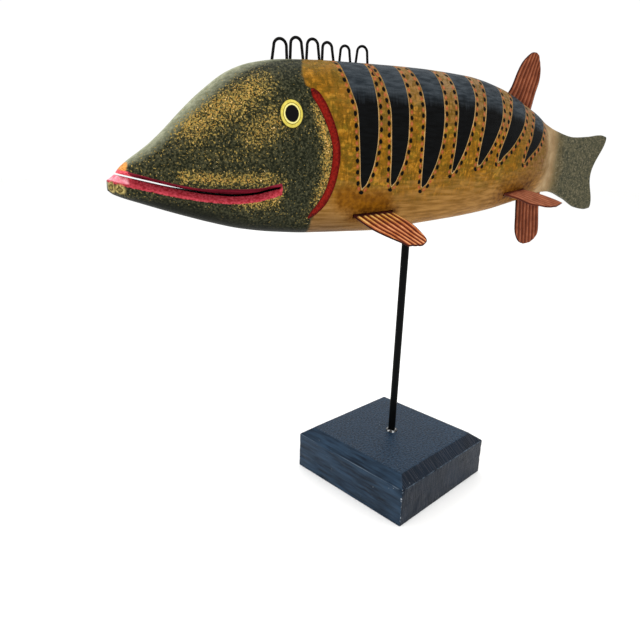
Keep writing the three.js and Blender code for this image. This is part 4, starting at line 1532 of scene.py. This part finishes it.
side_fin_paint = fin_finish("copper and gold oil paint", {
    "ribs": ("#7c3618", "#9c5028"), "crest_highlights": ("#b8703e", "#dca070"),
    "root": ("#7c4816", "#a06a24"), "root_crest_highlights": ("#dca03e", "#f8d484"),
    "grooves": ("#3e1005", "#5a1e0a"), "edges": ("#1c0604", "#38100a"),
}, root_end=0.24, groove_half=0.16, foot_share=0.057)
rear_fin_paint = fin_finish("copper oil paint", {
    "ribs": ("#744029", "#8a5036"), "crest_highlights": ("#86492f", "#a06448"),
    "root": ("#642c16", "#7a4028"), "root_crest_highlights": ("#6e341c", "#86492e"),
    "grooves": ("#683420", "#7a4129"), "edges": ("#40180c", "#54210f"),
}, root_end=0.2, groove_half=0.07, foot_share=0.06)
middle_fin_paint = fin_finish("red-brown oil paint", {
    "ribs": ("#5a2916", "#763b23"), "crest_highlights": ("#784029", "#9a5e42"),
    "root": ("#5a2916", "#763b23"), "root_crest_highlights": ("#784029", "#9a5e42"),
    "grooves": ("#341206", "#4c1e0e"), "edges": ("#220a05", "#34100a"),
}, root_end=0.0, groove_half=0.07, foot_share=-0.1)
fin_finishes = {
    "pectoral": (side_fin_paint, "painted_fin"), "pelvic": (rear_fin_paint, "painted_fin"),
    "dorsal": (middle_fin_paint, "brown_fin"), "anal": (middle_fin_paint, "brown_fin"),
}
for node, matrix_and_length in fin_frames.items():
    fin_kind = node.split("_")[0]
    finish, slot = fin_finishes[fin_kind]
    fin = carve_fin(f"carved_{node}", fin_outlines[fin_kind], *matrix_and_length)
    smooth_faces(fin, 60)
    fin.data.materials.append(finish)
    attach(fin, "root")
    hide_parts(node)

# The eyes: low domed discs pressed into shallow seats, painted with a yellow ring, a fine dark line
# and a black pupil, under a thick drop of varnish.
eye_dome_mm = 1.1
eye_fullness = 0.88
eye_steps = (1, 0.985, 0.955, 0.91, 0.85, 0.78, 0.7, 0.6, 0.5, 0.4, 0.3, 0.2, 0.1)


def turn_eye(name):
    """Built at the middle of the scene one unit in radius, with X, Y across it and Z out of it."""
    bpy.ops.object.select_all(action="DESELECT")
    bpy.ops.mesh.primitive_circle_add(vertices=72, radius=1, fill_type="NGON")
    made = bpy.context.object
    made.name = name
    dome = [(share, eye_dome_mm * math.sqrt(1 - share ** 2 * eye_fullness)) for share in eye_steps]

    def raise_dome():
        height, width = -eye_seat_depth_mm, 1
        for share, rise in dome:
            step = (0, 0, rise - height)
            bpy.ops.mesh.extrude_region_move(TRANSFORM_OT_translate={"value": step})
            bpy.ops.transform.resize(value=(share / width, share / width, 1))
            height, width = rise, share

    bpy.ops.object.select_all(action="DESELECT")
    made.location.z = -eye_seat_depth_mm
    made.select_set(True)
    bpy.ops.object.transform_apply(location=True, rotation=True, scale=True)
    edit_selected(made, raise_dome, lambda face: True)
    local = read_points(made) * MM
    keep_on_points(made, {"ring_place": np.hypot(local[:, 0], local[:, 1])})
    return made, local


# Enamel under a drop of varnish, so it is the glossiest thing on the fish. Its brush marks are
# drawn 1.1 mm apart, so that they show.
eye_paint, eye_shader = new_material("enamel under clear varnish")
ring_place = add_node(
    eye_paint, "ShaderNodeAttribute", {}, attribute_name="ring_place",
).outputs["Fac"]
eye_place = add_node(eye_paint, "ShaderNodeTexCoord", {}).outputs["Object"]
eye_marks = add_node(
    eye_paint, "ShaderNodeTexNoise",
    {"Vector": eye_place, "Scale": 1 / (1.111 * MM), "Detail": 3},
).outputs[0]
eye_coat = add_node(
    eye_paint, "ShaderNodeMix", {0: eye_marks, 6: paint("#a89428"), 7: paint("#e2d468")},
    data_type="RGBA",
).outputs[2]

# The dark line, the bright ring, the pupil and the rim, which is painted shade round the disc's
# edge: where each starts and is full, and its tone
for start, full, tone in (
    (0.83, 0.79, "#6a5c1c"), (0.77, 0.74, "#e4da84"), (0.66, 0.62, "#030303"),
    (1.0, 1.03, "#4a4218"),
):
    cover = ragged_cover(eye_paint, ring_place, eye_marks, 0.08, start, full)
    eye_coat = add_node(
        eye_paint, "ShaderNodeMix", {0: cover, 6: eye_coat, 7: paint(tone)}, data_type="RGBA",
    ).outputs[2]
fill_sockets(eye_paint, eye_shader, {
    "Base Color": eye_coat, "Roughness": 0.4, "Specular IOR Level": 0.03, "Coat Weight": 0.12,
    "Coat Roughness": 0.04,
})
for side, word in ((-1, "left"), (1, "right")):
    eye, local = turn_eye(f"domed_eye_{word}")
    out_of_disc = np.stack([local[:, 0], local[:, 2], -local[:, 1]], axis=1)
    sizes = np.array((eye_width_mm / 2, 1, eye_height_mm / 2))
    write_points(eye, placed(out_of_disc * sizes, eye_frame(side)))
    smooth_faces(eye, 50)
    eye.data.materials.append(eye_paint)
    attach(eye, "root")
    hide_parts(f"eye_{word}")

# The line ties: six staples bent from annealed steel wire and pushed into drilled holes along the
# back. No two are alike, because each was bent over a nail by hand.
wire_mm = 1.5
wire_buried_mm = 6
loop_width_mm = 8
loop_height_mm = 10.8
loop_gap_mm = 2.1
loop_taper_mm = 0.6
loops_start = 0.2462
wire_sides = 20
bend_steps = 28

# Each staple's own shares: of the usual gap before it, of the width and the height, of the width
# again for how far its top leans, and of the wire's thickness
wire_loops = [
    {"gap": 0, "width": 1, "height": 0.94, "off_centre": 0.04, "wire": 1},
    {"gap": 0.86, "width": 0.894, "height": 1, "off_centre": -0.05, "wire": 1},
    {"gap": 0.9, "width": 0.915, "height": 0.97, "off_centre": -0.04, "wire": 0.97},
    {"gap": 0.76, "width": 0.83, "height": 0.87, "off_centre": -0.06, "wire": 0.97},
    {"gap": 1.66, "width": 0.815, "height": 0.79, "off_centre": -0.015, "wire": 0.9},
    {"gap": 1.58, "width": 0.9125, "height": 0.845, "off_centre": 0.01, "wire": 0.9},
]


def bend_loop(name, loop, first_x):
    """A ring of wire drawn up one leg, spun over the arch and drawn down the other leg."""
    radius = loop["wire"] * wire_mm / 2
    last_x = first_x + loop["width"] * loop_width_mm
    feet = [Vector((x, 0, float(level_to_z(back_line(x_to_along(x)))))) for x in (first_x, last_x)]
    half_span = (last_x - first_x) / 2 - loop_taper_mm
    crown_z = (feet[0].z + feet[1].z) / 2 + loop["height"] * loop_height_mm - radius
    middle_x = (first_x + last_x) / 2 + loop["off_centre"] * loop_width_mm
    centre = Vector((middle_x, 0, crown_z - half_span))
    springs = [centre + Vector((way * half_span, 0, 0)) for way in (-1, 1)]
    ends = [foot - Vector((0, 0, wire_buried_mm)) for foot in feet]
    bpy.ops.object.select_all(action="DESELECT")
    bpy.ops.mesh.primitive_circle_add(
        vertices=wire_sides, radius=radius * MM, fill_type="NGON", location=ends[0] * MM,
    )
    made = bpy.context.object
    made.name = name
    bpy.ops.object.transform_apply(location=True, rotation=True, scale=True)

    def draw_wire():
        for step in (feet[0] - ends[0], springs[0] - feet[0]):
            bpy.ops.mesh.extrude_region_move(TRANSFORM_OT_translate={"value": step * MM})
        bpy.ops.mesh.spin(steps=bend_steps, angle=math.pi, center=centre * MM, axis=(0, -1, 0))
        for step in (feet[1] - springs[1], ends[1] - feet[1]):
            bpy.ops.mesh.extrude_region_move(TRANSFORM_OT_translate={"value": step * MM})
        close_skin()

    edit_selected(made, draw_wire, lambda face: True)
    return made, last_x


# Annealed steel wire, black with oxide and nearly dull. Its scale is drawn 0.8 mm apart, coarser
# than it is, so that it shows.
wire_steel, wire_shader = new_material("annealed steel wire")
wire_place = add_node(wire_steel, "ShaderNodeTexCoord", {}).outputs["Object"]
wire_marks = add_node(
    wire_steel, "ShaderNodeTexNoise",
    {"Vector": wire_place, "Scale": 1 / (0.769 * MM), "Detail": 3},
).outputs[0]
wire_colour = add_node(
    wire_steel, "ShaderNodeMix", {0: wire_marks, 6: paint("#020202"), 7: paint("#0c0b0b")},
    data_type="RGBA",
).outputs[2]
wire_gloss = add_node(
    wire_steel, "ShaderNodeMapRange", {"Value": wire_marks, "To Min": 0.38, "To Max": 0.62},
).outputs[0]
fill_sockets(wire_steel, wire_shader, {
    "Base Color": wire_colour, "Roughness": wire_gloss, "Specular IOR Level": 0.06,
})
next_x = along_to_x(loops_start)
for number, loop in enumerate(wire_loops, 1):
    staple, next_x = bend_loop(f"bent_loop_{number}", loop, next_x + loop["gap"] * loop_gap_mm)
    smooth_faces(staple, 50)
    staple.data.materials.append(wire_steel)
    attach(staple, "root")
    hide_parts(f"wire_loop_{number}")
